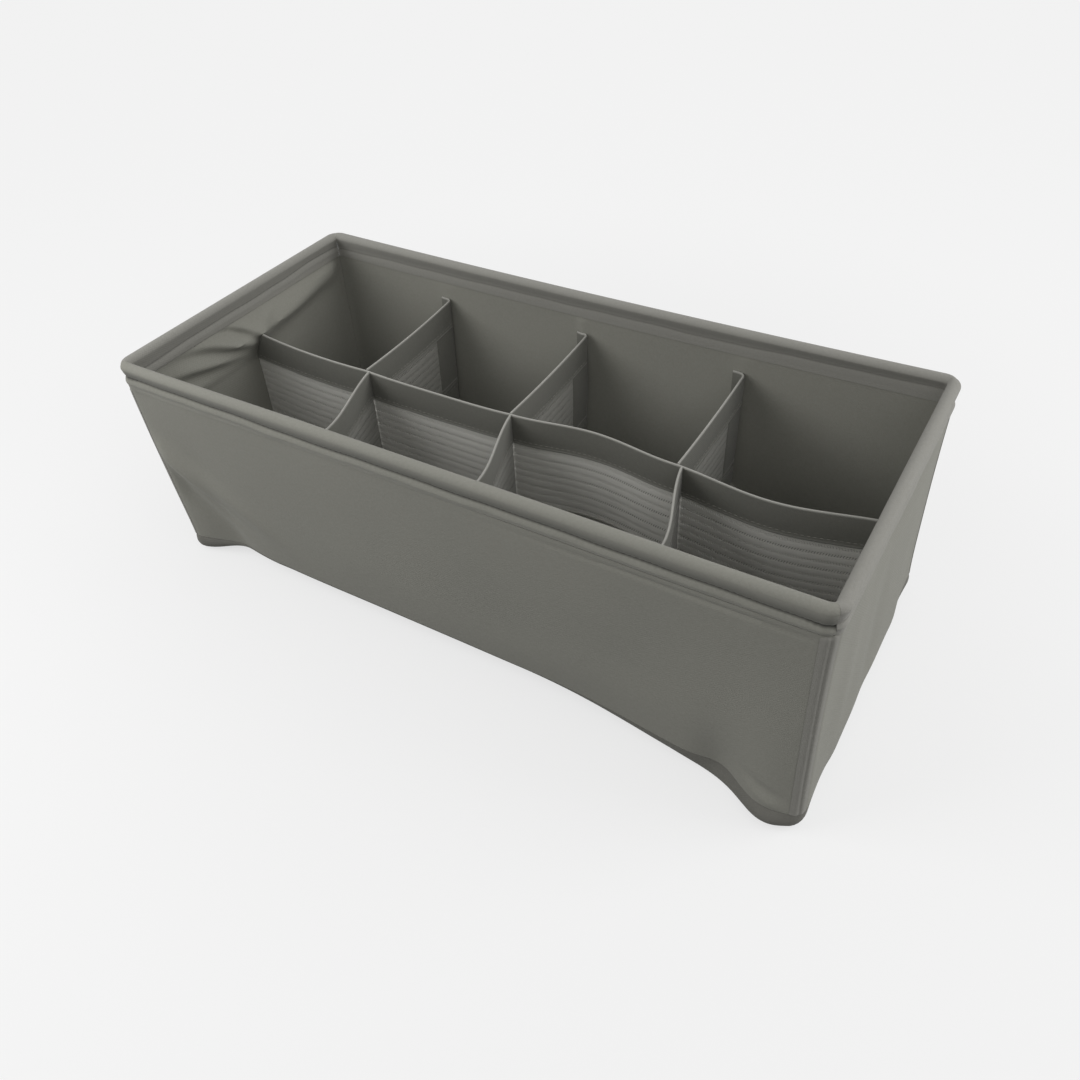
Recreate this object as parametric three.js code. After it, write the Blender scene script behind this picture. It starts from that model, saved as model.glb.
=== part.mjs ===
// A soft fabric clothes organizer: an open box of two-ply cloth whose rim is a rolled casing round a
// bent rod, divided into eight cells by net partitions with bound edges.
// Millimetres, +Z up, +X along the long side, front towards -Y, origin under the middle of the base.

import * as THREE from "three";

// Overall size, measured over the rim.
const length = 440;
const width = 205;
const height = 152;
const cornerRadius = 10;

// Cloth and sewing.
const wallThickness = 2;
const clearance = 0.3;
const cornerGap = 0.5;

// Rim: a cloth casing rolled round a rod and stitched to both faces of the walls.
const casingHeight = 17;
const casingThickness = 7.4;
const casingCloth = 1;
const rollDepth = 4.5;
const stitchDepth = 12;
const rodDiameter = 3.4;

// Base: the bottom cloth turns up round the edge and meets the walls at a seam, which climbs at the corners.
const seamRiseAtCorners = 13;
const seamRiseBetween = 4;
const turnUpRadius = 7;
const cornerBulge = 5;
const floorInset = 4;
const floorSlope = 22;
const baseInnerCornerRadius = 3;

// How the soft walls hang: each side is drawn in and lifted between its corners.
const frontDrawIn = 13;
const backDrawIn = 8;
const rightDrawIn = -3;
const leftDrawIn = 2;
const frontLift = 8;
const backLift = 5;
const endLift = 2;
const hangCurve = 1.5;

// Shares of a side, from its middle at 0 to its corners at -1 and 1, between which the hang eases away.
const frontHangLeft = [-1, -0.8];
const frontHangRight = [0.2, 0.95];
const otherHang = [0.3, 1];
const cornerReach = [0.65, 1];

// How far each lower corner leans from the rim's plan, along X and along Y.
const frontRightLean = [2, -2];
const backRightLean = [2, -1];
const backLeftLean = [2, -2];
const frontLeftLean = [2, 6];

// The cloth slumps forward in a lobe beside the front right corner.
const lobeReach = 4;
const lobeBulge = 5;
const lobeCentre = 0.92;
const lobeWidth = 0.08;

// The rim dips a little in the middle of a long side.
const backRimDip = 2;
const frontRimDip = 0.5;

// The long divider's ends draw the end walls inwards at its top edge.
const leftPull = 8;
const rightPull = 3;
const pullHalfWidth = 80;
const pullLeftBelow = 0.25;

// Dividers: one long net through the middle, and a half net on each side of it at each crossing. They are
// sewn to the walls and to each other. Their tops lie below the rim, and they hang clear of the base.
const dividerPitch = 108;
const dividerOffset = -9;
const dividerHeight = 80;
const belowRimAtWalls = 29;
const belowRimAtCrossings = 33;
const netThickness = 0.8;
const flangeLength = 12;
const flangeClearance = 0.5;
const bendRadius = 3;
const bayBows = [0, 1, 6, -5];
const baySags = [2, 2, 0, 3];
const halfSag = 1.5;

// The slack front halves start past their crossings, run aside to their places on the front wall, and lean
// over at the top between their ends.
const frontHalfStarts = [3, 1, 3];
const frontHalfSlant = 14;
const frontHalfLean = 9;
const frontHalfLeanSkew = 1.2;

// Tape folded over each net's top edge, and a narrower hem round its lower edge.
const bindingHeight = 20;
const hemHeight = 17;
const bindingCloth = 0.6;
const bindingCrown = 0.9;

// Openings of the nets, counted in each bay of the long net and in each half net.
const bayGapsAcross = 5;
const halfGapsAcross = 4;
const gapsUp = 3;
const strandWidth = 3;

// Tape sewn over the outside of each corner seam.
const tapeCloth = 0.8;
const tapeOnSide = 3;
const tapePastSeamDegrees = 20;

// Steps of the curved shapes.
const wallStepsLong = 14;
const wallStepsShort = 8;
const stepsCrowding = 0.7;
const cornerSteps = 2;
const wallLevels = [0, 0.16, 0.34, 0.54, 0.76, 1];
const turnUpSteps = 3;
const rodSides = 6;
const rollSteps = 2;

const halfTurn = Math.PI / 4;
const midHalfLength = length / 2 - casingThickness / 2;
const midHalfWidth = width / 2 - casingThickness / 2;
const midRadius = cornerRadius - casingThickness / 2;
const rodRadius = rodDiameter / 2;
const rodDrop = casingCloth + 2 * clearance + rodRadius;
const wallTopDrop = rodDrop + rodRadius + clearance;
const bindingHalf = netThickness / 2 + clearance + bindingCloth;
const topAtWalls = height - belowRimAtWalls;
const topAtCrossings = height - belowRimAtCrossings;
const bandLevel = topAtWalls - bindingHeight;

const shellCloth = new THREE.MeshStandardMaterial({ color: 0x6b6b63, roughness: 0.9, metalness: 0 });
const rimCloth = new THREE.MeshStandardMaterial({ color: 0x74746c, roughness: 0.85, metalness: 0 });
const baseCloth = new THREE.MeshStandardMaterial({ color: 0x5f5f58, roughness: 0.92, metalness: 0 });
const netCloth = new THREE.MeshStandardMaterial({ color: 0x73736c, roughness: 0.8, metalness: 0 });
const bindingTape = new THREE.MeshStandardMaterial({ color: 0x565751, roughness: 0.8, metalness: 0 });
const cornerTape = new THREE.MeshStandardMaterial({ color: 0x70706a, roughness: 0.85, metalness: 0 });
const rodSteel = new THREE.MeshStandardMaterial({ color: 0x9a9c9d, roughness: 0.35, metalness: 1 });

const organizer = new THREE.Group();

const mix = (a, b, share) => a + (b - a) * share;
const clamp01 = (value) => Math.min(1, Math.max(0, value));

function smooth(from, to, value) {
  const share = clamp01((value - from) / (to - from));
  return share * share * (3 - 2 * share);
}

// The four sides in turn. outward and forward are plan directions, lean holds the two corners' leans.
const sides = {
  front: {
    outward: [0, -1], forward: [1, 0], reach: midHalfLength, distance: midHalfWidth,
    drawIn: frontDrawIn, lift: frontLift, dip: frontRimDip, pull: 0, lobe: 1,
    lean: [frontLeftLean, frontRightLean], steps: wallStepsLong,
    hang: (q) => smooth(...frontHangLeft, q) * (1 - smooth(...frontHangRight, q)),
  },
  right: {
    outward: [1, 0], forward: [0, 1], reach: midHalfWidth, distance: midHalfLength,
    drawIn: rightDrawIn, lift: endLift, dip: 0, pull: rightPull, lobe: 0,
    lean: [frontRightLean, backRightLean], steps: wallStepsShort,
    hang: (q) => 1 - smooth(...otherHang, Math.abs(q)),
  },
  back: {
    outward: [0, 1], forward: [-1, 0], reach: midHalfLength, distance: midHalfWidth,
    drawIn: backDrawIn, lift: backLift, dip: backRimDip, pull: 0, lobe: 0,
    lean: [backRightLean, backLeftLean], steps: wallStepsLong,
    hang: (q) => 1 - smooth(...otherHang, Math.abs(q)),
  },
  left: {
    outward: [-1, 0], forward: [0, -1], reach: midHalfWidth, distance: midHalfLength,
    drawIn: leftDrawIn, lift: endLift, dip: 0, pull: leftPull, lobe: 0,
    lean: [backLeftLean, frontLeftLean], steps: wallStepsShort,
    hang: (q) => 1 - smooth(...otherHang, Math.abs(q)),
  },
};

// A station marks a place along a side: a share of its straight run from -1 to 1, or a turn into a corner.
const onStraight = (share) => ({ share, turn: 0 });
const inCorner = (end, turn) => ({ share: end, turn: end * turn });

function sideStations(side, lastTurn = halfTurn) {
  const stations = [];
  for (let k = cornerSteps; k > 0; k--) {
    stations.push(inCorner(-1, (lastTurn * k) / cornerSteps));
  }
  for (let k = 0; k <= side.steps; k++) {
    const even = (2 * k) / side.steps - 1;
    stations.push(onStraight(mix(even, Math.sin((Math.PI / 2) * even), stepsCrowding)));
  }
  for (let k = 1; k <= cornerSteps; k++) {
    stations.push(inCorner(1, (lastTurn * k) / cornerSteps));
  }
  return stations;
}

// Place and outward normal of a station on the rim's rounded rectangle, drawn in by an inset.
function onPlan(side, station, inset = 0, radius = midRadius) {
  const run = (side.reach - inset - radius) * station.share;
  const centre = side.distance - inset - radius;
  const cos = Math.cos(station.turn);
  const sin = Math.sin(station.turn);
  const out = centre + radius * cos;
  const along = run + radius * sin;
  return {
    x: side.outward[0] * out + side.forward[0] * along,
    y: side.outward[1] * out + side.forward[1] * along,
    nx: side.outward[0] * cos + side.forward[0] * sin,
    ny: side.outward[1] * cos + side.forward[1] * sin,
  };
}

// Position along the side from -1, at one corner seam, to 1, at the other.
function sidePosition(side, station) {
  const straight = side.reach - midRadius;
  const whole = straight + midRadius * halfTurn;
  return (straight * station.share + midRadius * station.turn) / whole;
}

const rimTop = (side, q) => height - side.dip * (1 - q * q);
const hangLevel = (side, q) => rimTop(side, q) - casingHeight - 2 * clearance;
const edgeLevel = (side, q) => side.lift * side.hang(q);
const seamLevel = (side, q) => edgeLevel(side, q) + mix(seamRiseAtCorners, seamRiseBetween, side.hang(q));
const lobeShare = (side, q) => side.lobe * Math.exp(-(((q - lobeCentre) / lobeWidth) ** 2));
const cornerShare = (q) => smooth(...cornerReach, Math.abs(q));

// Plan displacement of the soft wall at a height: it hangs inwards between the corners, leans at them,
// and is drawn in by the long divider on the end walls.
function sway(side, q, z) {
  const free = hangLevel(side, q);
  const low = Math.pow(clamp01((free - z) / (free - seamLevel(side, q))), hangCurve);
  const hung = side.drawIn * side.hang(q) - lobeReach * lobeShare(side, q);
  const inward = hung * low + side.pull * pullAt(side, q, z, free);
  const first = smooth(...cornerReach, -q) * low;
  const second = smooth(...cornerReach, q) * low;
  return [
    -side.outward[0] * inward + side.lean[0][0] * first + side.lean[1][0] * second,
    -side.outward[1] * inward + side.lean[0][1] * first + side.lean[1][1] * second,
  ];
}

function pullAt(side, q, z, free) {
  const distance = Math.abs(q) * side.reach;
  const across = 1 - smooth(0, pullHalfWidth, distance);
  if (z >= topAtWalls) {
    return across * clamp01((free - z) / (free - topAtWalls));
  }
  if (z >= bandLevel) {
    return across * mix(pullLeftBelow, 1, (z - bandLevel) / (topAtWalls - bandLevel));
  }
  return across * pullLeftBelow * clamp01(z / bandLevel);
}

// A point of the soft shell: a station at a height, offset outwards from the middle of the wall.
function onWall(side, station, z, offset) {
  const plan = onPlan(side, station, -offset, midRadius + offset);
  const [dx, dy] = sway(side, sidePosition(side, station), z);
  return new THREE.Vector3(plan.x + dx, plan.y + dy, z);
}

// Joins triangles into one closed mesh whose faces point outwards.
function closedMesh(name, material, points, triangles) {
  let volume = 0;
  for (const [a, b, c] of triangles) {
    volume += points[a].dot(new THREE.Vector3().crossVectors(points[b], points[c]));
  }
  const order = volume < 0 ? triangles.map(([a, b, c]) => [a, c, b]) : triangles;
  const geometry = new THREE.BufferGeometry().setFromPoints(points);
  geometry.setIndex(order.flat());
  geometry.computeVertexNormals();
  const mesh = new THREE.Mesh(geometry, material);
  mesh.name = name;
  organizer.add(mesh);
}

// A thin sheet: a grid of points on each face, joined round its border and round every gap.
function sheet(name, material, columns, rows, pointAt, isGap = () => false) {
  const points = [];
  for (const face of [1, -1]) {
    for (let j = 0; j <= rows; j++) {
      for (let i = 0; i <= columns; i++) {
        points.push(pointAt(i, j, face));
      }
    }
  }
  const perFace = (columns + 1) * (rows + 1);
  const outer = (i, j) => j * (columns + 1) + i;
  const inner = (i, j) => perFace + outer(i, j);
  const isCloth = (i, j) => i >= 0 && j >= 0 && i < columns && j < rows && !isGap(i, j);
  const triangles = [];
  const border = (p, q) => {
    triangles.push([outer(...q), outer(...p), inner(...p)], [outer(...q), inner(...p), inner(...q)]);
  };
  for (let j = 0; j < rows; j++) {
    for (let i = 0; i < columns; i++) {
      if (!isCloth(i, j)) {
        continue;
      }
      const a = [i, j];
      const b = [i + 1, j];
      const c = [i + 1, j + 1];
      const d = [i, j + 1];
      triangles.push([outer(...a), outer(...b), outer(...c)], [outer(...a), outer(...c), outer(...d)]);
      triangles.push([inner(...a), inner(...c), inner(...b)], [inner(...a), inner(...d), inner(...c)]);
      if (!isCloth(i, j - 1)) border(a, b);
      if (!isCloth(i + 1, j)) border(b, c);
      if (!isCloth(i, j + 1)) border(c, d);
      if (!isCloth(i - 1, j)) border(d, a);
    }
  }
  const used = [...new Set(triangles.flat())];
  const newIndex = new Map(used.map((index, order) => [index, order]));
  const renumbered = triangles.map((triangle) => triangle.map((index) => newIndex.get(index)));
  closedMesh(name, material, used.map((index) => points[index]), renumbered);
}

// Triangles that close off a ring of points, seen as a flat outline.
function cap(outline, start, isFirst) {
  const isReversed = isFirst !== THREE.ShapeUtils.isClockWise(outline);
  return THREE.ShapeUtils.triangulateShape(outline, []).map(([a, b, c]) =>
    (isReversed ? [a, c, b] : [a, b, c]).map((index) => start + index),
  );
}

// Joins rings of points into one solid. The first and last ring are capped, unless the rings make a loop.
function loft(name, material, rings, capOutlines = []) {
  const count = rings[0].length;
  const isLoop = capOutlines.length === 0;
  const spans = isLoop ? rings.length : rings.length - 1;
  const triangles = [];
  for (let k = 0; k < spans; k++) {
    const next = (k + 1) % rings.length;
    for (let i = 0; i < count; i++) {
      const j = (i + 1) % count;
      const [a, b, c, d] = [k * count + i, k * count + j, next * count + j, next * count + i];
      triangles.push([a, b, c], [a, c, d]);
    }
  }
  if (!isLoop) {
    const [first, last] = capOutlines;
    triangles.push(...cap(first, 0, true), ...cap(last, spans * count, false));
  }
  closedMesh(name, material, rings.flat(), triangles);
}

// A section carried along a row of rings.
function sweep(name, material, rings, section) {
  const outline = section.map(([across, up]) => new THREE.Vector2(across, up));
  loft(name, material, rings, [outline, outline]);
}

// Heights at which the soft part of a wall bends, from its foot up to just below the casing.
function softLevels(side, q, bottom) {
  return [...wallLevels.map((share) => mix(bottom, bandLevel, share)), topAtWalls, hangLevel(side, q)];
}

// Walls: two plies of cloth from the base seam up into the casing.
function wall(name, side) {
  const stations = sideStations(side, halfTurn - cornerGap / 2 / midRadius);
  const pointAt = (i, j, face) => {
    const q = sidePosition(side, stations[i]);
    const bottom = seamLevel(side, q) + clearance;
    const levels = [...softLevels(side, q, bottom), rimTop(side, q) - wallTopDrop];
    return onWall(side, stations[i], levels[j], (face * wallThickness) / 2);
  };
  sheet(name, shellCloth, stations.length - 1, wallLevels.length + 2, pointAt);
}

// Outline of the rolled casing: an inverted U, fat round the rod and flat on the wall below the stitching.
function casingSection() {
  const half = (inset) => {
    const belly = casingThickness / 2 - inset;
    const foot = wallThickness / 2 + clearance + casingCloth - inset;
    const points = [[foot, -casingHeight], [foot, -stitchDepth]];
    for (let k = 0; k <= rollSteps; k++) {
      const angle = (Math.PI / 2) * (k / rollSteps);
      points.push([belly * Math.cos(angle), (rollDepth - inset) * Math.sin(angle) - rollDepth]);
    }
    return points;
  };
  const mirrored = (points) => points.slice(0, -1).reverse().map(([across, up]) => [-across, up]);
  const outside = half(0);
  const inside = half(casingCloth);
  return [...outside, ...mirrored(outside), ...[...inside, ...mirrored(inside)].reverse()];
}

function rimRing(side, station, section) {
  const plan = onPlan(side, station);
  const top = rimTop(side, sidePosition(side, station));
  return section.map(
    ([across, up]) => new THREE.Vector3(plan.x + plan.nx * across, plan.y + plan.ny * across, top + up),
  );
}

function rimCasing(name, side) {
  const section = casingSection();
  const stations = sideStations(side, halfTurn - cornerGap / 2 / midRadius);
  sweep(name, rimCloth, stations.map((station) => rimRing(side, station, section)), section);
}

// All stations round the box, each corner seam once.
function roundTheBox() {
  return Object.values(sides).flatMap((side) =>
    sideStations(side).slice(0, -1).map((station) => ({ side, station })),
  );
}

function rimRod() {
  const section = [];
  for (let k = 0; k < rodSides; k++) {
    const angle = (2 * Math.PI * k) / rodSides;
    section.push([rodRadius * Math.cos(angle), rodRadius * Math.sin(angle) - rodDrop]);
  }
  const rings = roundTheBox().map(({ side, station }) => rimRing(side, station, section));
  loft("rim_rod", rodSteel, rings);
}

// Base cloth: flat where it rests, turned up round the edge to the seam. It bulges at the corners.
function bottomPanel() {
  const places = roundTheBox();
  const ring = (angle, inset, depth) =>
    places.map(({ side, station }) => {
      const q = sidePosition(side, station);
      const seam = seamLevel(side, q);
      const edge = inset > 0 ? 0 : edgeLevel(side, q);
      const bulge = cornerBulge * cornerShare(q) + lobeBulge * lobeShare(side, q);
      const turned = turnUpRadius * (1 - Math.cos(angle)) - bulge * Math.sin(2 * angle);
      const sloped = inset * (floorInset + floorSlope * side.hang(q));
      const offset = wallThickness / 2 - depth;
      const high = onPlan(side, station, -offset, midRadius + offset);
      const low = onPlan(side, station, turnUpRadius - offset, baseInnerCornerRadius);
      const share = (turned + sloped) / turnUpRadius;
      const [dx, dy] = sway(side, q, seam);
      const z = depth + mix(edge, seam - depth, 1 - Math.sin(angle));
      return new THREE.Vector3(mix(high.x, low.x, share) + dx, mix(high.y, low.y, share) + dy, z);
    });
  const rings = [ring(Math.PI / 2, 1, 0)];
  for (let k = turnUpSteps; k >= 0; k--) {
    rings.push(ring((Math.PI / 2) * (k / turnUpSteps), 0, 0));
  }
  for (let k = 0; k <= turnUpSteps; k++) {
    rings.push(ring((Math.PI / 2) * (k / turnUpSteps), 0, wallThickness));
  }
  rings.push(ring(Math.PI / 2, 1, wallThickness));
  const planOf = (points) => points.map((point) => new THREE.Vector2(point.x, point.y));
  loft("bottom_panel", baseCloth, rings, [planOf(rings[0]), planOf(rings.at(-1))]);
}

// Tape over a corner seam, from the casing's foot to the base seam. It lies on the side before the corner.
function cornerSeamTape(name, side, next) {
  const past = THREE.MathUtils.degToRad(tapePastSeamDegrees);
  const straightEnd = 1 - tapeOnSide / (side.reach - midRadius);
  const places = [
    { side, station: onStraight(straightEnd) },
    { side, station: inCorner(1, 0) },
    { side, station: inCorner(1, halfTurn / 2) },
    { side, station: inCorner(1, halfTurn) },
    { side: next, station: inCorner(-1, halfTurn - past) },
  ];
  const pointAt = (i, j, face) => {
    const { side: onSide, station } = places[i];
    const q = sidePosition(onSide, station);
    const levels = softLevels(onSide, q, seamLevel(onSide, q) + clearance);
    const offset = wallThickness / 2 + clearance + (face > 0 ? tapeCloth : 0);
    return onWall(onSide, station, levels[j], offset);
  };
  sheet(name, cornerTape, places.length - 1, wallLevels.length + 1, pointAt);
}

// Value at a distance along a side, between the two stations there, as the faceted cloth runs.
function alongSide(side, along, valueAt) {
  const stations = sideStations(side);
  const alongOf = (station) => {
    const plan = onPlan(side, station);
    return side.forward[0] * plan.x + side.forward[1] * plan.y;
  };
  const k = Math.max(1, stations.findIndex((station) => alongOf(station) >= along));
  const [before, after] = [stations[k - 1], stations[k]];
  const share = (along - alongOf(before)) / (alongOf(after) - alongOf(before));
  return mix(valueAt(before), valueAt(after), share);
}

// Distance of a side's inner face from the middle of the box, at a height.
function innerFace(side, along, z) {
  return alongSide(side, along, (station) => {
    const point = onWall(side, station, z, -wallThickness / 2);
    return side.outward[0] * point.x + side.outward[1] * point.y;
  });
}

// Plan of the dividers. A crossing is where the cross dividers meet the long one, and a bay lies between two.
const crossingX = [-1, 0, 1].map((k) => dividerOffset + k * dividerPitch);
const bayEnds = [-midHalfLength, ...crossingX, midHalfLength];
const bayTops = [topAtWalls, ...crossingX.map(() => topAtCrossings), topAtWalls];
const lastBay = crossingX.length;

function inBay(x) {
  const bay = Math.min(lastBay, Math.max(0, bayEnds.findIndex((end) => x < end) - 1));
  return { bay, share: clamp01((x - bayEnds[bay]) / (bayEnds[bay + 1] - bayEnds[bay])) };
}

const arch = (share) => 4 * share * (1 - share);

// How far the long net stands from the middle line, and how high its top edge is.
function longBow(x) {
  const { bay, share } = inBay(x);
  return bayBows[bay] * Math.sin(Math.PI * share) ** 2;
}

function longTop(x) {
  const { bay, share } = inBay(x);
  return mix(bayTops[bay], bayTops[bay + 1], share) - baySags[bay] * arch(share);
}

// Shares of a run at which its strands and gaps begin.
function strandShares(gaps, runLength) {
  const strand = strandWidth / runLength;
  const pitch = (1 - strand) / gaps;
  const shares = [0];
  for (let k = 0; k < gaps; k++) {
    shares.push(strand + k * pitch, (k + 1) * pitch);
  }
  return shares;
}

// A net is open between its strands, from its hem up to its binding, and closed inside them. Each place
// along it gives the height of its top edge, and its line as a function of height, with the normal there.
function net(name, places, isGapColumn) {
  const rise = dividerHeight - bindingHeight - hemHeight;
  const openShares = [...strandShares(gapsUp, rise), 1];
  const tucked = bindingCloth + clearance;
  const drops = [
    dividerHeight - tucked,
    ...openShares.map((share) => mix(dividerHeight - hemHeight, bindingHeight, share)),
    tucked,
  ];
  const pointAt = (i, j, face) => {
    const { at, top } = places[i];
    const z = top - drops[j];
    const place = at(z);
    const offset = (face * netThickness) / 2;
    return new THREE.Vector3(place.x + place.nx * offset, place.y + place.ny * offset, z);
  };
  const isGapRow = (j) => j > 0 && j % 2 === 0 && j <= 2 * gapsUp;
  const isGap = (i, j) => isGapColumn(i) && isGapRow(j);
  sheet(name, netCloth, places.length - 1, drops.length - 1, pointAt, isGap);
}

// Tape folded over an edge of a net. It reaches from the edge by its height, upwards or downwards.
function foldedTape(name, places, tapeHeight, edgeDrop, up) {
  const inner = netThickness / 2 + clearance;
  const section = [
    [bindingHalf, tapeHeight],
    [bindingHalf, bindingCrown],
    [inner, 0],
    [-inner, 0],
    [-bindingHalf, bindingCrown],
    [-bindingHalf, tapeHeight],
    [-inner, tapeHeight],
    [-inner, bindingCloth],
    [inner, bindingCloth],
    [inner, tapeHeight],
  ].map(([across, fromEdge]) => [across, up * fromEdge]);
  const rings = places.map(({ at, top }) =>
    section.map(([across, rise]) => {
      const z = top - edgeDrop + rise;
      const place = at(z);
      return new THREE.Vector3(place.x + place.nx * across, place.y + place.ny * across, z);
    }),
  );
  sweep(name, bindingTape, rings, section);
}

// A divider: its net with the tape over the top edge and the hem round the lower one.
function divider(name, places, isGapColumn) {
  net(`${name}_net`, places, isGapColumn);
  foldedTape(`${name}_binding`, places, bindingHeight, 0, -1);
  foldedTape(`${name}_hem`, places, hemHeight, dividerHeight, 1);
}

// The long divider runs in one piece from the left end wall to the right one.
function longDivider() {
  const { left, right } = sides;
  const startX = (z) => clearance - innerFace(left, 0, z);
  const endX = (z) => innerFace(right, 0, z) - clearance;
  const runs = [];
  for (let bay = 0; bay <= lastBay; bay++) {
    const shares = strandShares(bayGapsAcross, bayEnds[bay + 1] - bayEnds[bay]);
    runs.push(...shares.map((share) => ({ bay, share })));
  }
  runs.push({ bay: lastBay, share: 1 });
  const places = runs.map(({ bay, share }) => {
    const at = (z) => {
      const from = bay === 0 ? startX(z) : bayEnds[bay];
      const to = bay === lastBay ? endX(z) : bayEnds[bay + 1];
      const x = mix(from, to, share);
      return { x, y: longBow(x), nx: 0, ny: 1 };
    };
    return { at, top: longTop(at(topAtWalls).x) };
  });
  const perBay = 2 * bayGapsAcross + 1;
  divider("long_divider", places, (i) => (i % perBay) % 2 === 1);
}

// How far a half divider leans over at a share of its run: not in its hem, and all the way in its binding.
function leanAt(lean, share, z) {
  const hemTop = topAtWalls - dividerHeight + hemHeight;
  const bindingFoot = topAtCrossings - halfSag - bindingHeight;
  const up = clamp01((z - hemTop) / (bindingFoot - hemTop));
  return lean * up * Math.sin(Math.PI * Math.pow(share, frontHalfLeanSkew)) ** 2;
}

// Half a cross divider, from the long divider to the front or the back wall, where it turns aside in a
// flange that is sewn to the wall. It may run aside by a slant, and lean.
function crossHalf(name, startX, side, slant = 0, lean = 0) {
  const facing = side.outward[1];
  const endX = startX + slant;
  const wallOut = (atX, z) => innerFace(side, side.forward[0] * atX, z) - bindingHalf - flangeClearance;
  const crossingOut = facing * longBow(startX) + bindingHalf + clearance;
  const onRun = (share) => (z) => {
    const x = mix(startX, endX, smooth(0, 1, share)) + leanAt(lean, share, z);
    const out = mix(crossingOut, wallOut(endX, z) - bendRadius, share);
    return { x, y: facing * out, nx: 1, ny: 0 };
  };
  const onFlange = (turn, beyond) => (z) => {
    const atX = endX - bendRadius * (1 - Math.cos(turn)) - beyond;
    const out = wallOut(atX, z) - bendRadius * (1 - Math.sin(turn));
    return { x: atX, y: facing * out, nx: Math.cos(turn), ny: facing * Math.sin(turn) };
  };
  const runLength = midHalfWidth - bindingHalf - bendRadius;
  const routes = [
    ...strandShares(halfGapsAcross, runLength).map(onRun),
    onRun(1),
    onFlange(Math.PI / 4, 0),
    onFlange(Math.PI / 2, 0),
    onFlange(Math.PI / 2, flangeLength - bendRadius),
  ];
  const places = routes.map((at) => {
    const share = clamp01((facing * at(topAtWalls).y) / midHalfWidth);
    return { at, top: mix(topAtCrossings, topAtWalls, share) - halfSag * arch(share) };
  });
  divider(name, places, (i) => i < 2 * halfGapsAcross && i % 2 === 1);
}

wall("front_wall", sides.front);
wall("right_end_wall", sides.right);
wall("back_wall", sides.back);
wall("left_end_wall", sides.left);
bottomPanel();
rimCasing("front_rim_casing", sides.front);
rimCasing("right_rim_casing", sides.right);
rimCasing("back_rim_casing", sides.back);
rimCasing("left_rim_casing", sides.left);
rimRod();
cornerSeamTape("front_right_corner_tape", sides.front, sides.right);
cornerSeamTape("back_right_corner_tape", sides.right, sides.back);
cornerSeamTape("back_left_corner_tape", sides.back, sides.left);
cornerSeamTape("front_left_corner_tape", sides.left, sides.front);
longDivider();
crossingX.forEach((x, k) => {
  crossHalf(`cross_divider_${k + 1}_back`, x, sides.back);
  crossHalf(`cross_divider_${k + 1}_front`, x + frontHalfStarts[k], sides.front, frontHalfSlant, frontHalfLean);
});

export default organizer;
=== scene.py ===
"""Looks of a soft fabric clothes organizer: two-ply cloth walls hung from a stitched rim, a turned-up base,
and bound net dividers. Formulas are in millimetres, +X along the long side, front towards -Y, +Z up."""
import math
from collections import namedtuple
from types import SimpleNamespace

import bpy
import numpy as np
from mathutils import Matrix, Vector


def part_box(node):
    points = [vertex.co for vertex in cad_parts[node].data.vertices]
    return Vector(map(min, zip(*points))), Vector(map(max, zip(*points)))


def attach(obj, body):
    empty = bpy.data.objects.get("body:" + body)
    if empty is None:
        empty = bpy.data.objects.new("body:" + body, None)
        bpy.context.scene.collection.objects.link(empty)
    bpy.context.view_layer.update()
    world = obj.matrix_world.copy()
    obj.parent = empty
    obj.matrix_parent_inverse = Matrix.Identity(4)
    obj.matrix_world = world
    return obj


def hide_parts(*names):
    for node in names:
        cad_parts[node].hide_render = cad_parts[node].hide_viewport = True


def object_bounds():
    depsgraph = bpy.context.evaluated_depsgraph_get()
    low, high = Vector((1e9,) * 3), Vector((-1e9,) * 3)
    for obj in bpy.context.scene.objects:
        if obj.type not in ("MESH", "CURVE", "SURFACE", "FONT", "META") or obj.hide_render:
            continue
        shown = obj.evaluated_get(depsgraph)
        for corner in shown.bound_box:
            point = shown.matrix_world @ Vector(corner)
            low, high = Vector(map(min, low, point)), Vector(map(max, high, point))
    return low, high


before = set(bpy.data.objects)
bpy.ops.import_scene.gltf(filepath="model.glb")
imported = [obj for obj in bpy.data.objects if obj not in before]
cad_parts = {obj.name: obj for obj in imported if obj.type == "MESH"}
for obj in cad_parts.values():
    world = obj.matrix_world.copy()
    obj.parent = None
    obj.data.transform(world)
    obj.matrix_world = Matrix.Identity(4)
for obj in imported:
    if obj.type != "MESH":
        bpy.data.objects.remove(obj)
cad_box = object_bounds()

# Overall size over the rim, read from the frame. MM is the number of millimetres in a metre.
MM = 1000.0
LENGTH = 2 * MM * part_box("right_rim_casing")[1].x
WIDTH = 2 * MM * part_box("back_rim_casing")[1].y
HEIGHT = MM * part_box("right_rim_casing")[1].z
CORNER_RADIUS = 10.0

# Cloth, seams and the steps of its meshes.
WALL = 2.0
CLEARANCE = 0.3
SEAM_GAP = 0.05
COLUMN_STEP = 1.7
ROW_STEP = 1.7
SHARP_ANGLE = math.radians(50)

# How the sides hang. Places along a side run from -1 at its first corner seam to 1 at its last. Here and
# below, a pair of values is where a smooth step starts and ends.
FRONT_SLACK_STARTS = (-1, -0.8)
FRONT_SLACK_ENDS = (0.2, 0.95)
RIGHT_SLACK_ENDS = (0.5, 1)
SLACK_ENDS = (0.3, 1)
NEAR_CORNER = (0.65, 1)
HANG_CURVE = 1.5
FRONT_RIM_BOW = 0.9
BOW_ENDS = (0.3, 0.85)
BOW_SHIFT = 0.05

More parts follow.
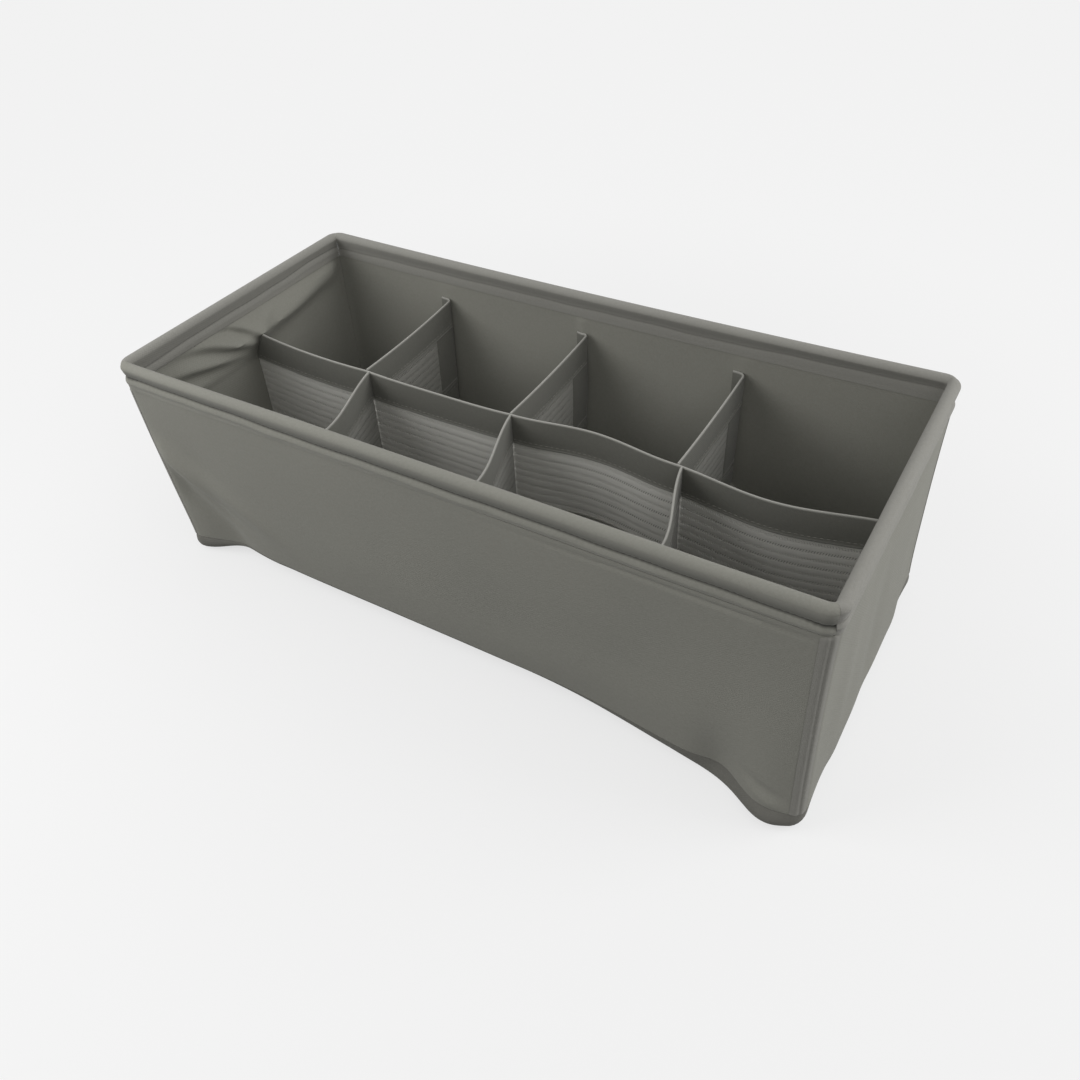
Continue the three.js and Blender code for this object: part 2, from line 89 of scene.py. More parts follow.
# Rim casing: a fat roll over the rod, a waist drawn in by stitches, and a ridged hem under them.
CASING_HEIGHT = 17.0
CASING_THICKNESS = 7.4
CASING_CLOTH = 1.0
ROLL_DEPTH = 3.8
ROLL_STEPS = 12
FLAT_STEPS = 36
ROD_ROOM = 6.7
BORE_GAP = 0.1
FOOT_GAP = 0.25
WAIST_ABOVE_ROLL = 1.5
WAIST_SLACK = 0.5
ROWS_IN_CASING = (0.5, 1.0)
STITCH_DEPTH_AT_START = 8.8
STITCH_DEPTH = 10.2
STITCH_DEPTH_AT_END = 11.0
START_DEPTH_ENDS = (-0.7, -0.35)
END_DEPTH_STARTS = (0.3, 0.9)
STITCH_WANDER = 0.3
STITCH_WAVES = 0.8
GROOVE_DEPTH = 1.8
GROOVE_HALF_WIDTH = 0.8
GROOVE_LEFT_AT_CORNERS = 0.5
GROOVE_FADE = (20, 5)
PUCKER = 0.22
PUCKER_HALF_WIDTH = 1.6
CASING_HEM_CLOTH = 0.8
CASING_HEM_RIDGE = 0.7
CASING_HEM_FROM_STITCH = 3.4
CASING_HEM_HALF_WIDTH = 1.6
CASING_HEM_SLACK = 0.2
CASING_HEM_SLACK_DEPTH = 14
CASING_HEM_SLACK_HALF_WIDTH = 2
CASING_HEM_WAVES = 1.3
CASING_HEM_SEED = 3
FOOT_LINE_AT_START = 0.1
FOOT_LINE_GROWS = (-0.1, 0.4)
FOOT_LINE_HEIGHT = 0.8
END_PINCH = 0.5
END_PINCH_LENGTH = 1.6
END_PINCH_MOST = 0.25

# Base cloth: turned up to a seam that climbs at the corners, and its floor with slow waves.
SEAM_RISE_AT_CORNERS = 13.0
SEAM_RISE_BETWEEN = 4.0
TURN_UP_RADIUS = 7.0
TURN_UP_STEPS = 14
FLARE = 0.25
FLARE_HEIGHT = 9.0
BASE_INNER_CORNER_RADIUS = 3.0
FLOOR_INSET = 4.0
FLOOR_SLOPE = 22.0
FLOOR_RINGS = 40
FLOOR_LEAST = 0.01
FLOOR_MIDDLE = 0.2
FLOOR_WAVE = 0.5
FLOOR_WAVE_GROWTH = 0.3
FLOOR_WAVES = (0.3, 0.5)
FLOOR_SEEDS = (2, 5)

# The cloth slumps forward in a lobe beside the front right corner.
LOBE_REACH = 4.0
LOBE_BULGE = 5.0
LOBE_FROM_CORNER = 17.3
LOBE_WIDTH = 17.3

# The long divider's ends draw the end walls inwards.
PULL_HALF_WIDTH = 80.0
PULL_LEFT_BELOW = 0.25

# Surface of the walls: a shoulder under the casing, a crease in each inner corner, and a slow ripple.
SHOULDER = 1.1
SHOULDER_HEIGHT = 35.0
SHOULDER_RAMP = 0.15
CORNER_CREASE = 0.9
CORNER_CREASE_WIDTH = 1.5
CORNER_FADE = 14.0
CASING_FADE = 3
SLACK_RIPPLE = 0.3
RIPPLE_ALONG = (0.35, 0.2)
RIPPLE_UP = (-0.1, 0.4)
RIPPLE_SEED = 1.7

# Corner tapes: how far they reach on each side of the seam, and their crown with a dent along it.
CORNER_TAPE_BEFORE = 4.4
CORNER_TAPE_PAST = 2.8
CORNER_TAPE_TURNED_UNDER = 1.4
CORNER_TAPE_COLUMNS = 33
CORNER_TAPE_ROWS = 70
CORNER_TAPE_EDGE = 0.15
CORNER_TAPE_CROWN = 0.6
CORNER_TAPE_SLOPE = 2.6
CORNER_TAPE_DENT = 0.4
CORNER_TAPE_DENT_AT = -0.8
CORNER_TAPE_DENT_HALF_WIDTH = 0.6

# Dividers. Bows and sags are for the bays between the crossings, from left to right.
DIVIDER_PITCH = 108.0
DIVIDER_OFFSET = -9.0
DIVIDER_HEIGHT = 80.0
TOP_AT_WALLS = HEIGHT - 29.0
TOP_AT_CROSSINGS = HEIGHT - 33.0
BAY_BOWS = np.array([0.0, 1.0, 6.0, -5.0])
BAY_SAGS = np.array([2.0, 2.0, 0.0, 3.0])
HALF_SAG = 1.5
FRONT_HALF_STARTS = (3.0, 1.0, 3.0)
FRONT_HALF_SLANT = 14.0
FRONT_HALF_LEAN = 9.0
LEAN_SKEW = 1.6
LEAN_BELOW_HEM_TOP = 10
LEAN_ABOVE_BINDING_FOOT = 15
SLOPE_STEP = 0.01
FLANGE_LENGTH = 5.0
FLANGE_CLEARANCE = 0.2
BEND_RADIUS = 2.5

# Net: thick ribs along it, and thin yarns that zigzag between them.
NET_THICKNESS = 0.6
NET_MARGIN = 0.5
RIB_PITCH = 5.375
RIB_WIDTH = 3.3
RIB_HALF_THICKNESS = 0.45
YARN_PITCH = 1.5
YARN_WIDTH = 1.1
YARN_HALF_THICKNESS = 0.25
YARN_SLANT = 0.45

# Folded tapes: a binding over the top edge and a hem round the lower one. TAPE_FACE gives how far a face
# stands out at distances from its free edge: a bead along the edge, and a dent under the stitches.
BINDING_HEIGHT = 20.0
HEM_HEIGHT = 17.0
SIDE_BAND = 19.0
SIDE_BAND_STEPS = 24
SIDE_BAND_EDGE = 2.5
TAPE_CLOTH = 0.4
TAPE_GAP = 0.05
TAPE_STEP = 2.0
TAPE_FOLD_DEPTH = 0.9
TAPE_FOLD_STEPS = 9
TAPE_BEAD = 0.25
TAPE_DENT = 0.12
TAPE_FACE = ((0, 0), (0.4, TAPE_BEAD), (1.0, TAPE_BEAD), (1.6, 0), (3.0, -TAPE_DENT), (4.4, 0))
TAPE_FACE_MIDDLE = 0.4
TAPE_WAVE = 0.12
TAPE_WAVES = 0.9
TAPE_WAVE_FROM_FOLD = 2

# Stitches.
STITCH_LENGTH = 2.3
STITCH_PITCH = 3.4
STITCH_RADIUS = 0.22
STITCH_SHOULDERS = (0.22, 0.78)
STITCH_LIFT = 0.02
STITCH_FROM_EDGE = 2.8
STITCH_FIRST = 2.0
STITCH_LAST = 3.0

# Uneven waves: their lengths share no common measure, and a seed shifts each by its own amount.
WAVE_LENGTHS = (5.3, 11.7, 23.9)
WAVE_SHIFTS = (1.0, 2.1, 4.7)
WAVE_HEIGHT = 2.2

# Finishes of the cloths and the wire: noise scales for a metre, and the weave's height in metres.
PATCH_SCALE = 14.0
SPECK_SCALE = 700.0
SPECK_SHARE = 0.5
GRAIN_SCALE = 900.0
STREAK_SCALE = 180.0
WEAVE_RELIEF = 0.0002
SHEEN_ROUGHNESS = 0.5
CLOTH_SPECULAR = 0.3
WIRE_ROUGHNESS = 0.2
WIRE_STREAKS = 0.25

# Camera: where it stands in metres, how it is turned in degrees, and its lens and sensor in millimetres.
CAMERA_PLACE = (0.26607, -0.39931, 0.44403)
CAMERA_AZIMUTH = 32.96
CAMERA_ELEVATION = 41.28
CAMERA_ROLL = -3.41
CAMERA_LENS = 32.72
CAMERA_SENSOR = 36.0

# Floor and lamps, in metres. A panel's size is its side, and a sun's is its width in degrees.
BACKGROUND = (244, 244, 244)
FLOOR_FOR_LIGHT = (137, 137, 137)
FLOOR_HALF = 6.0
GLOW_NEAR = 0.75
GLOW_FAR = 0.95
GLOW_FROM = 0.25
GLOW_TO = 0.60
SKY = 0.34
Lamp = namedtuple("Lamp", "name kind place size strength")
LAMPS = [
    Lamp("right_panel", "AREA", (0.90, 0.38, 0.45), 0.6, 4.0),
    Lamp("fill_sun", "SUN", (0.41, -0.63, 0.66), 40, 0.2),
    Lamp("top_sun", "SUN", (0.45, 0.05, 0.80), 60, 0.7),
    Lamp("left_panel", "AREA", (-0.55, -0.50, 0.55), 0.6, 3.7),
]

MID_HALF_LENGTH = (LENGTH - CASING_THICKNESS) / 2
MID_HALF_WIDTH = (WIDTH - CASING_THICKNESS) / 2
MID_RADIUS = CORNER_RADIUS - CASING_THICKNESS / 2
FOOT_HALF = WALL / 2 + FOOT_GAP
BAND_LEVEL = TOP_AT_WALLS - BINDING_HEIGHT
NET_RISE = DIVIDER_HEIGHT - BINDING_HEIGHT - HEM_HEIGHT
TAPE_INNER = NET_THICKNESS / 2 + TAPE_GAP
TAPE_OUTER = TAPE_INNER + TAPE_CLOTH
BEND_LENGTH = BEND_RADIUS * math.pi / 2
HALF_RUN = MID_HALF_WIDTH - TAPE_OUTER - BEND_RADIUS
HALF_LENGTH = HALF_RUN + BEND_LENGTH + FLANGE_LENGTH
CROSSINGS = [DIVIDER_OFFSET + k * DIVIDER_PITCH for k in (-1, 0, 1)]
BAY_ENDS = np.array([-MID_HALF_LENGTH, *CROSSINGS, MID_HALF_LENGTH])
BAY_TOPS = np.array([TOP_AT_WALLS, *[TOP_AT_CROSSINGS] * 3, TOP_AT_WALLS])

# A fold is a long soft ridge in a wall: its middle along the side and up, its direction in degrees, its half
# length and half width, and how far it stands out. Negative folds push into the box.
Fold = namedtuple("Fold", "along up angle half_length half_width rise")
FRONT_FOLDS = [
    Fold(-190, 71, -50, 44, 7.5, 3.8),
    Fold(-199, 52, -54, 34, 6.5, -3.0),
    Fold(-172, 69, -36, 44, 8.5, 3.0),
    Fold(-178, 50, -40, 36, 6.5, -2.6),
    Fold(172, 6, 90, 30, 13, -5.5),
    Fold(196, 24, -14, 13, 2.6, -1.1),
    Fold(199, 17, -10, 11, 2.0, 0.9),
    Fold(150, 130, 0.5, 80, 1.1, -1.1),
    Fold(150, 132.6, 0.5, 80, 1.0, 0.5),
    Fold(60, 30, 8, 70, 20, 1.2),
    Fold(-60, 45, -6, 80, 26, 1.2),
    Fold(120, 60, 70, 40, 25, -0.8),
]
RIGHT_FOLDS = [
    Fold(66, 32, 72, 34, 8, 0.5),
    Fold(78, 40, 78, 34, 6, -0.4),
    Fold(-60, 60, 80, 50, 16, 1.2),
    Fold(0, 40, 85, 50, 14, -1.2),
]
BACK_FOLDS = [
    Fold(12, 118, 80, 18, 3.5, -1.4),
    Fold(117, 100, 84, 40, 6, -0.8),
    Fold(-99, 100, 86, 40, 6, -0.8),
    Fold(-160, 60, 40, 60, 18, 1.4),
    Fold(60, 50, -30, 70, 20, 1.4),
    Fold(160, 45, 60, 40, 16, -1.0),
]
LEFT_FOLDS = [
    Fold(8, 130, 40, 18, 3.6, -3.4),
    Fold(17, 131, 33, 22, 3.2, 3.0),
    Fold(25, 126, 25, 24, 3.6, -3.6),
    Fold(34, 123, 18, 26, 3.4, 2.6),
    Fold(42, 119, 12, 26, 3.6, -3.2),
    Fold(54, 115, 6, 28, 4.2, 2.0),
    Fold(64, 109, 2, 28, 5.0, -2.0),
    Fold(-12, 131, -24, 14, 4.5, -3.4),
    Fold(-52, 126, -4, 44, 8.0, -6.0),
    Fold(-30, 112, -8, 36, 8.0, 1.8),
    Fold(40, 60, 70, 45, 14, 1.2),
    Fold(-50, 55, 100, 45, 14, 1.4),
]

# Lower corners: how far each leans along X and Y, and how far the base bulges there.
Corner = namedtuple("Corner", "lean_x lean_y bulge")
FRONT_LEFT = Corner(0.5, 7.6, 2)
FRONT_RIGHT = Corner(4, -5, 0)
BACK_RIGHT = Corner(2, -1, 2)
BACK_LEFT = Corner(2, -2, 4)


def mix(a, b, share):
    return a + (b - a) * share


def smooth(start, end, value):
    """A smooth step from 0 at start to 1 at end."""
    share = np.clip((value - start) / (end - start), 0, 1)
    return share * share * (3 - 2 * share)


def bell(distance, half_width):
    """A soft bump: 1 at no distance, and fading on both sides."""
    return np.exp(-((distance / half_width) ** 2))


def arch(height, share):
    """An arch of a height: 0 at both ends, and the whole height halfway."""
    return height * 4 * share * (1 - share)


def wobble(s, seed):
    """An uneven wave of about unit height: a sum of sines whose lengths share no common measure."""
    waves = (np.sin(s / length + shift * seed) for length, shift in zip(WAVE_LENGTHS, WAVE_SHIFTS))
    return sum(waves) / WAVE_HEIGHT


def hang_at_front(q):
    """How freely the front hangs: slack from near its left corner, eased away well before its right one."""
    return smooth(*FRONT_SLACK_STARTS, q) * (1 - smooth(*FRONT_SLACK_ENDS, q))


def hang_at_right(q):
    """How freely the right end hangs: it stays full until close to its corners."""
    return 1 - smooth(*RIGHT_SLACK_ENDS, np.abs(q))


def hang_elsewhere(q):
    """How freely a side hangs: slack in its middle, held at its corners."""
    return 1 - smooth(*SLACK_ENDS, np.abs(q))


def make_side(outward, first, last, hang, folds, draw_in, lift, groove, inner_hem, dip=0, pull=0, bow=0,
              lobe_at=-10 * LENGTH):
    """One side of the box, between its first and last corners as seen from outside, left to right. At its
    middle it is drawn in below, its lower edge is lifted, and its rim dips and bows inwards. The long divider
    pulls it. groove and inner_hem are shares of its casing's groove, and of the hem on the casing's inner
    face. lobe_at is the lobe's place along it, by default far away."""
    forward = (-outward[1], outward[0])
    is_end = outward[0] != 0
    reach, distance = (MID_HALF_WIDTH, MID_HALF_LENGTH) if is_end else (MID_HALF_LENGTH, MID_HALF_WIDTH)
    straight = reach - MID_RADIUS
    whole = straight + MID_RADIUS * math.pi / 4
    return SimpleNamespace(**locals())


FRONT = make_side((0, -1), FRONT_LEFT, FRONT_RIGHT, hang_at_front, FRONT_FOLDS, draw_in=13, lift=8,
                  groove=1.0, inner_hem=0.2, dip=0.5, bow=FRONT_RIM_BOW,
                  lobe_at=MID_HALF_LENGTH - LOBE_FROM_CORNER)
RIGHT = make_side((1, 0), FRONT_RIGHT, BACK_RIGHT, hang_at_right, RIGHT_FOLDS, draw_in=-4, lift=2,
                  groove=0.35, inner_hem=0.1, pull=3, lobe_at=-MID_HALF_WIDTH - LOBE_FROM_CORNER)
BACK = make_side((0, 1), BACK_RIGHT, BACK_LEFT, hang_elsewhere, BACK_FOLDS, draw_in=8, lift=5,
                 groove=0.8, inner_hem=0.1, dip=2)
LEFT = make_side((-1, 0), BACK_LEFT, FRONT_LEFT, hang_elsewhere, LEFT_FOLDS, draw_in=2, lift=2,
                 groove=0.6, inner_hem=0.4, pull=8)
SIDES = {"front": FRONT, "right": RIGHT, "back": BACK, "left": LEFT}


def on_plan(side, q, inset=0.0, radius=MID_RADIUS):
    """Place and outward normal at q along a side, from -1 at one corner seam to 1 at the next, on the rim's
    rounded rectangle drawn in by an inset: a straight run, then an eighth of a circle at each end."""
    s = q * side.whole
    share = np.clip(s / side.straight, -1, 1)
    turn = np.sign(s) * np.clip(np.abs(s) - side.straight, 0, None) / MID_RADIUS
    out = side.distance - inset - radius + radius * np.cos(turn)
    along = (side.reach - inset - radius) * share + radius * np.sin(turn)
    x = side.outward[0] * out + side.forward[0] * along
    y = side.outward[1] * out + side.forward[1] * along
    nx = side.outward[0] * np.cos(turn) + side.forward[0] * np.sin(turn)
    ny = side.outward[1] * np.cos(turn) + side.forward[1] * np.sin(turn)
    return x, y, nx, ny


def rim_bow(side, q):
    """How far the rim bows inwards between its corners."""
    return side.bow * (1 - smooth(*BOW_ENDS, np.abs(q + BOW_SHIFT)))


def rim_top(side, q):
    return HEIGHT - side.dip * (1 - q * q)


def hang_level(side, q):
    return rim_top(side, q) - CASING_HEIGHT - SEAM_GAP


def edge_level(side, q):
    return side.lift * side.hang(q)


def seam_level(side, q):
    return edge_level(side, q) + mix(SEAM_RISE_AT_CORNERS, SEAM_RISE_BETWEEN, side.hang(q))


def lobe_share(side, q):
    return bell(q * side.reach - side.lobe_at, LOBE_WIDTH)


def corner_shares(q):
    """How near q is to the first corner and to the last one."""
    return smooth(*NEAR_CORNER, -q), smooth(*NEAR_CORNER, q)


def bulge(side, q):
    """How far the base stands out below its seam: at the corners, and more at the lobe."""
    first, last = corner_shares(q)
    return side.first.bulge * first + side.last.bulge * last + LOBE_BULGE * lobe_share(side, q)


def pull_at(side, q, z):
    """How far the long divider draws an end wall in: most at the divider's top edge, a quarter below it."""
    free = hang_level(side, q)
    above = np.clip((free - z) / (free - TOP_AT_WALLS), 0, 1)
    beside = mix(PULL_LEFT_BELOW, 1, np.clip((z - BAND_LEVEL) / BINDING_HEIGHT, 0, 1))
    below = PULL_LEFT_BELOW * np.clip(z / BAND_LEVEL, 0, 1)
    across = 1 - smooth(0, PULL_HALF_WIDTH, np.abs(q) * side.reach)
    return across * np.where(z >= TOP_AT_WALLS, above, np.where(z >= BAND_LEVEL, beside, below))


def sway(side, q, z):
    """Plan displacement of the hanging cloth: drawn in and leaning more the lower it is."""
    free = hang_level(side, q)
    low = np.clip((free - z) / (free - seam_level(side, q)), 0, 1) ** HANG_CURVE
    first, last = (share * low for share in corner_shares(q))
    inward = side.draw_in * side.hang(q) * low + side.pull * pull_at(side, q, z)
    inward = inward + rim_bow(side, q) * (1 - low)
    dx = -side.outward[0] * inward + side.first.lean_x * first + side.last.lean_x * last
    dy = -side.outward[1] * inward + side.first.lean_y * first + side.last.lean_y * last
    return dx, dy - LOBE_REACH * lobe_share(side, q) * low


def shoulder(side, q, z):
    """How far the outer ply stands out just below the casing's foot, level with the casing."""
    below = hang_level(side, q) - z
    return SHOULDER * smooth(0, SHOULDER_RAMP, below) * np.exp(-np.clip(below, 0, None) / SHOULDER_HEIGHT)


def corner_crease(side, q):
    """How far the inner ply is sewn back into each corner seam."""
    return CORNER_CREASE * bell(side.whole - np.abs(q) * side.whole, CORNER_CREASE_WIDTH)


def folds(side, q, z):
    """How far the folds and the slack of the cloth stand out: a sum of long soft ridges and a slow ripple,
    which fade at the corners and into the rim casing."""
    along = q * side.whole
    total = SLACK_RIPPLE * wobble(along * RIPPLE_ALONG[0] + z * RIPPLE_ALONG[1], side.distance)
    total = total * wobble(along * RIPPLE_UP[0] + z * RIPPLE_UP[1], RIPPLE_SEED)
    for fold in side.folds:
        cos, sin = math.cos(math.radians(fold.angle)), math.sin(math.radians(fold.angle))
        lengthwise = ((along - fold.along) * cos + (z - fold.up) * sin) / fold.half_length
        across = ((z - fold.up) * cos - (along - fold.along) * sin) / fold.half_width
        total = total + fold.rise * np.exp(-(lengthwise**2) - across**2)
    free = hang_level(side, q)
    total = total * smooth(0, CORNER_FADE, side.whole - np.abs(along))
    return total * (1 - smooth(free - CASING_FADE, free, z))


def flare(side, q, z):
    """How far the wall turns out just above its seam, to meet the bulge of the base."""
    return FLARE * bulge(side, q) * np.exp(-np.clip(z - seam_level(side, q), 0, None) / FLARE_HEIGHT)


def shell(side, q, z, offset):
    """A point of the soft wall, offset outwards from the middle of its cloth."""
    x, y, nx, ny = on_plan(side, q)
    dx, dy = sway(side, q, z)
    out = offset + folds(side, q, z) + flare(side, q, z)
    out = out + shoulder(side, q, z) * (offset > 0) + corner_crease(side, q) * (offset == -WALL / 2)
    return np.stack(np.broadcast_arrays(x + dx + nx * out, y + dy + ny * out, z), -1)


def inner_face(side, q, z):
    """Distance of a wall's inner face from the middle of the box."""
    point = shell(side, q, z, -WALL / 2)
    return side.outward[0] * point[..., 0] + side.outward[1] * point[..., 1]


class Cloth:
    """Vertices, faces and cloth coordinates of a piece, gathered from one or more closed surfaces."""

    def __init__(self):
        self.points, self.coordinates, self.faces, self.count = [], [], [], 0

    def add(self, points, coordinates, faces):
        self.points.append(points.reshape(-1, 3))
        self.coordinates.append(coordinates.reshape(-1, 2))
        self.faces += [[index + self.count for index in face] for face in faces]
        self.count += len(self.points[-1])

    def sheet(self, outer, inner, coordinates, gap=None):
        """A thin sheet from two grids of points, rows by columns, joined round the border and each gap."""
        rows, columns = outer.shape[:2]
        index = np.arange(rows * columns).reshape(rows, columns)
        solid = np.ones((rows - 1, columns - 1), bool) if gap is None else ~gap
        padded = np.pad(solid, 1)
        a, b, c, d = index[:-1, :-1], index[:-1, 1:], index[1:, 1:], index[1:, :-1]
        under = rows * columns
        quads = [np.stack([a, b, c, d], -1)[solid], np.stack([a, d, c, b], -1)[solid] + under]
        edges = [(a, b, padded[:-2, 1:-1]), (b, c, padded[1:-1, 2:]), (c, d, padded[2:, 1:-1]),
                 (d, a, padded[1:-1, :-2])]
        for start, end, neighbour in edges:
            bare = solid & ~neighbour
            p, r = start[bare], end[bare]
            quads.append(np.stack([r, p, p + under, r + under], -1))
        quads = np.concatenate(quads)
        points = np.concatenate([outer.reshape(-1, 3), inner.reshape(-1, 3)])
        used, quads = np.unique(quads, return_inverse=True)
        both = np.concatenate([coordinates.reshape(-1, 2)] * 2)
        self.add(points[used], both[used], quads.reshape(-1, 4).tolist())

    def sweep(self, rings, coordinates):
        """A closed section carried along: each ring of points is joined to the next, and both ends capped."""
        index = np.arange(rings.shape[0] * rings.shape[1]).reshape(rings.shape[:2])
        beside = np.roll(index, -1, 1)
        faces = np.stack([index[:-1], beside[:-1], beside[1:], index[1:]], -1).reshape(-1, 4).tolist()
        faces += [index[0, ::-1].tolist(), index[-1].tolist()]
        self.add(rings, coordinates, faces)


def turned_outwards(points, faces):
    """The faces, all reversed if the closed surface that they make is inside out."""
    fans = [(face[0], face[k], face[k + 1]) for face in faces for k in range(1, len(face) - 1)]
    a, b, c = (points[np.array(fans)[:, k]] - points.mean(0) for k in range(3))
    volume = np.einsum("ij,ij->i", a, np.cross(b, c)).sum()
    return faces if volume > 0 else [face[::-1] for face in faces]


def add_object(name, data):
    item = bpy.data.objects.new(name, data)
    bpy.context.scene.collection.objects.link(item)
    return item


def add_piece(name, cloth, material, slot, node=None):
    """Puts a gathered cloth into a mesh object that rides on the frame and stands for its CAD node."""
    points = np.concatenate(cloth.points) / MM
    faces = turned_outwards(points, cloth.faces)
    mesh = bpy.data.meshes.new(name)
    mesh.from_pydata(points.tolist(), [], faces)
    layer = mesh.uv_layers.new(name="cloth")
    corners = np.concatenate([np.array(face) for face in faces])
    layer.data.foreach_set("uv", (np.concatenate(cloth.coordinates)[corners] / MM).ravel())
    mesh.shade_smooth()
    mesh.set_sharp_from_angle(angle=SHARP_ANGLE)
    mesh.materials.append(material)
    piece = add_object(name, mesh)
    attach(piece, "root")
    if node:
        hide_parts(node)
    return piece


def metres(*sizes):
    return tuple(size / MM for size in sizes)


# Shader nodes and materials.
def linear(colour):
    """A screen colour from 0 to 255 as the linear colour that a shader takes."""
    shares = [value / 255 for value in colour]
    return tuple(s / 12.92 if s <= 0.04045 else ((s + 0.055) / 1.055) ** 2.4 for s in shares) + (1.0,)


def fill(tree, node, values):
    """Gives a node's sockets their values, or links them to outputs of other nodes."""
    for key, value in values.items():
        if isinstance(value, bpy.types.NodeSocket):
            tree.links.new(value, node.inputs[key])
        else:
            node.inputs[key].default_value = value


def add_node(tree, kind, values, **settings):
    node = tree.nodes.new(f"ShaderNode{kind}")
    for key, value in settings.items():
        setattr(node, key, value)
    fill(tree, node, values)
    return node


def math_node(tree, operation, *values):
    return add_node(tree, "Math", dict(enumerate(values)), operation=operation).outputs[0]


def blend(tree, share, first, second):
    """The first colour with a share of the second one over it."""
    values = {"Factor": share, "A": first, "B": second}
    return add_node(tree, "Mix", values, data_type="RGBA").outputs["Result"]


def noise(tree, vector, scale, detail=2.0):
    return add_node(tree, "TexNoise", {"Vector": vector, "Scale": scale, "Detail": detail}).outputs["Fac"]


def object_place(tree):
    return add_node(tree, "TexCoord", {}).outputs["Object"]


def new_group(name, inputs, outputs):
    """A node group with its sockets, each given as its name and kind. Gives its tree and its two ends."""
    group = bpy.data.node_groups.new(name, "ShaderNodeTree")
    for direction, sockets in (("INPUT", inputs), ("OUTPUT", outputs)):
        for socket, kind in sockets.items():
            group.interface.new_socket(socket, in_out=direction, socket_type=f"NodeSocket{kind}")
    return group, group.nodes.new("NodeGroupInput").outputs, group.nodes.new("NodeGroupOutput")


def weave_group():
    """Plain weave: warp and weft sines cross, and each passes over the other in turn. Gives its height."""
    inputs = {"Vector": "Vector", "Threads": "Float"}
    tree, given, made = new_group("plain_weave", inputs, {"Height": "Float"})
    split = add_node(tree, "SeparateXYZ", {0: given["Vector"]})
    across = math_node(tree, "MULTIPLY", split.outputs["X"], given["Threads"])
    up = math_node(tree, "MULTIPLY", split.outputs["Y"], given["Threads"])
    wave = math_node(tree, "MULTIPLY", math_node(tree, "SINE", across), math_node(tree, "SINE", up))
    lift = math_node(tree, "MULTIPLY", math_node(tree, "ADD", wave, 1.0), 0.5)
    grain = noise(tree, given["Vector"], GRAIN_SCALE)
    fill(tree, made, {"Height": math_node(tree, "ADD", lift, grain)})
    return tree


def mottle_group():
    """Slow patches of a second shade and fine specks of a lighter one, over a ground colour."""
    shades = {"Ground": "Color", "Patches": "Color", "Specks": "Color"}
    tree, given, made = new_group("cloth_mottle", {"Vector": "Vector", **shades}, {"Colour": "Color"})
    slow = noise(tree, given["Vector"], PATCH_SCALE, 3.0)
    fine = noise(tree, given["Vector"], SPECK_SCALE, 1.0)
    patched = blend(tree, slow, given["Ground"], given["Patches"])
    specked = blend(tree, math_node(tree, "MULTIPLY", fine, SPECK_SHARE), patched, given["Specks"])
    fill(tree, made, {"Colour": specked})
    return tree


def line_group():
    """1 on a thin line at a distance across a folded cloth, measured from its fold, and 0 elsewhere: where a
    band of painted shade or painted highlight goes.
    """
    inputs = {"Vector": "Vector", "Place": "Float", "Width": "Float"}
    tree, given, made = new_group("line_on_cloth", inputs, {"Share": "Float"})
    split = add_node(tree, "SeparateXYZ", {0: given["Vector"]})
    across = math_node(tree, "ABSOLUTE", split.outputs["Y"])
    off = math_node(tree, "ABSOLUTE", math_node(tree, "SUBTRACT", across, given["Place"]))
    near = math_node(tree, "MINIMUM", math_node(tree, "DIVIDE", off, given["Width"]), 1.0)
    fill(tree, made, {"Share": math_node(tree, "SUBTRACT", 1.0, near)})
    return tree


PLAIN_WEAVE = weave_group()
CLOTH_MOTTLE = mottle_group()
LINE_ON_CLOTH = line_group()

# A band of painted shade or painted highlight on a folded cloth: its distance from the fold, its half width,
# # how much of its colour shows, and its colour.
Line = namedtuple("Line", "from_fold half_width share colour")


def new_material(name):
    material = bpy.data.materials.new(name)
    material.use_nodes = True
    return material, material.node_tree, material.node_tree.nodes["Principled BSDF"]


def cloth_material(name, colours, thread_pitch, bump, roughness, sheen, lines=()):
    """Matt cloth: a woven bump on the cloth's own coordinates under a mottled colour, with a soft sheen. The
    colours are its ground, its patches and its specks. Each line paints a band over that colour: painted
    shade along the rims' stitch grooves, and painted highlights along the bindings' edges."""
    material, tree, shader = new_material(name)
    on_cloth = add_node(tree, "UVMap", {}, uv_map="cloth").outputs["UV"]
    shades = dict(zip(("Ground", "Patches", "Specks"), map(linear, colours)))
    mottle = add_node(tree, "Group", {}, node_tree=CLOTH_MOTTLE)
    fill(tree, mottle, {"Vector": object_place(tree), **shades})
    colour = mottle.outputs["Colour"]
    for line in lines:
        drawn = add_node(tree, "Group", {}, node_tree=LINE_ON_CLOTH)
        place, width = metres(line.from_fold, line.half_width)
        fill(tree, drawn, {"Vector": on_cloth, "Place": place, "Width": width})
        share = math_node(tree, "MULTIPLY", drawn.outputs["Share"], line.share)
        colour = blend(tree, share, colour, linear(line.colour))
    weave = add_node(tree, "Group", {}, node_tree=PLAIN_WEAVE)
    fill(tree, weave, {"Vector": on_cloth, "Threads": math.pi * MM / thread_pitch})
    height = {"Height": weave.outputs["Height"]}
    relief = add_node(tree, "Bump", {"Strength": bump, "Distance": WEAVE_RELIEF, **height})
    fill(tree, shader, {"Base Color": colour, "Normal": relief.outputs["Normal"], "Roughness": roughness})
    fill(tree, shader, {"Sheen Weight": sheen, "Sheen Roughness": SHEEN_ROUGHNESS})
    fill(tree, shader, {"Specular IOR Level": CLOTH_SPECULAR})
    return material


def wire_material(name, ground):
    """Drawn steel wire: a streaked roughness on a grey metal."""
    material, tree, shader = new_material(name)
    streaks = math_node(tree, "MULTIPLY", noise(tree, object_place(tree), STREAK_SCALE), WIRE_STREAKS)
    roughness = math_node(tree, "ADD", streaks, WIRE_ROUGHNESS)
    fill(tree, shader, {"Roughness": roughness, "Base Color": linear(ground), "Metallic": 1.0})
    return material


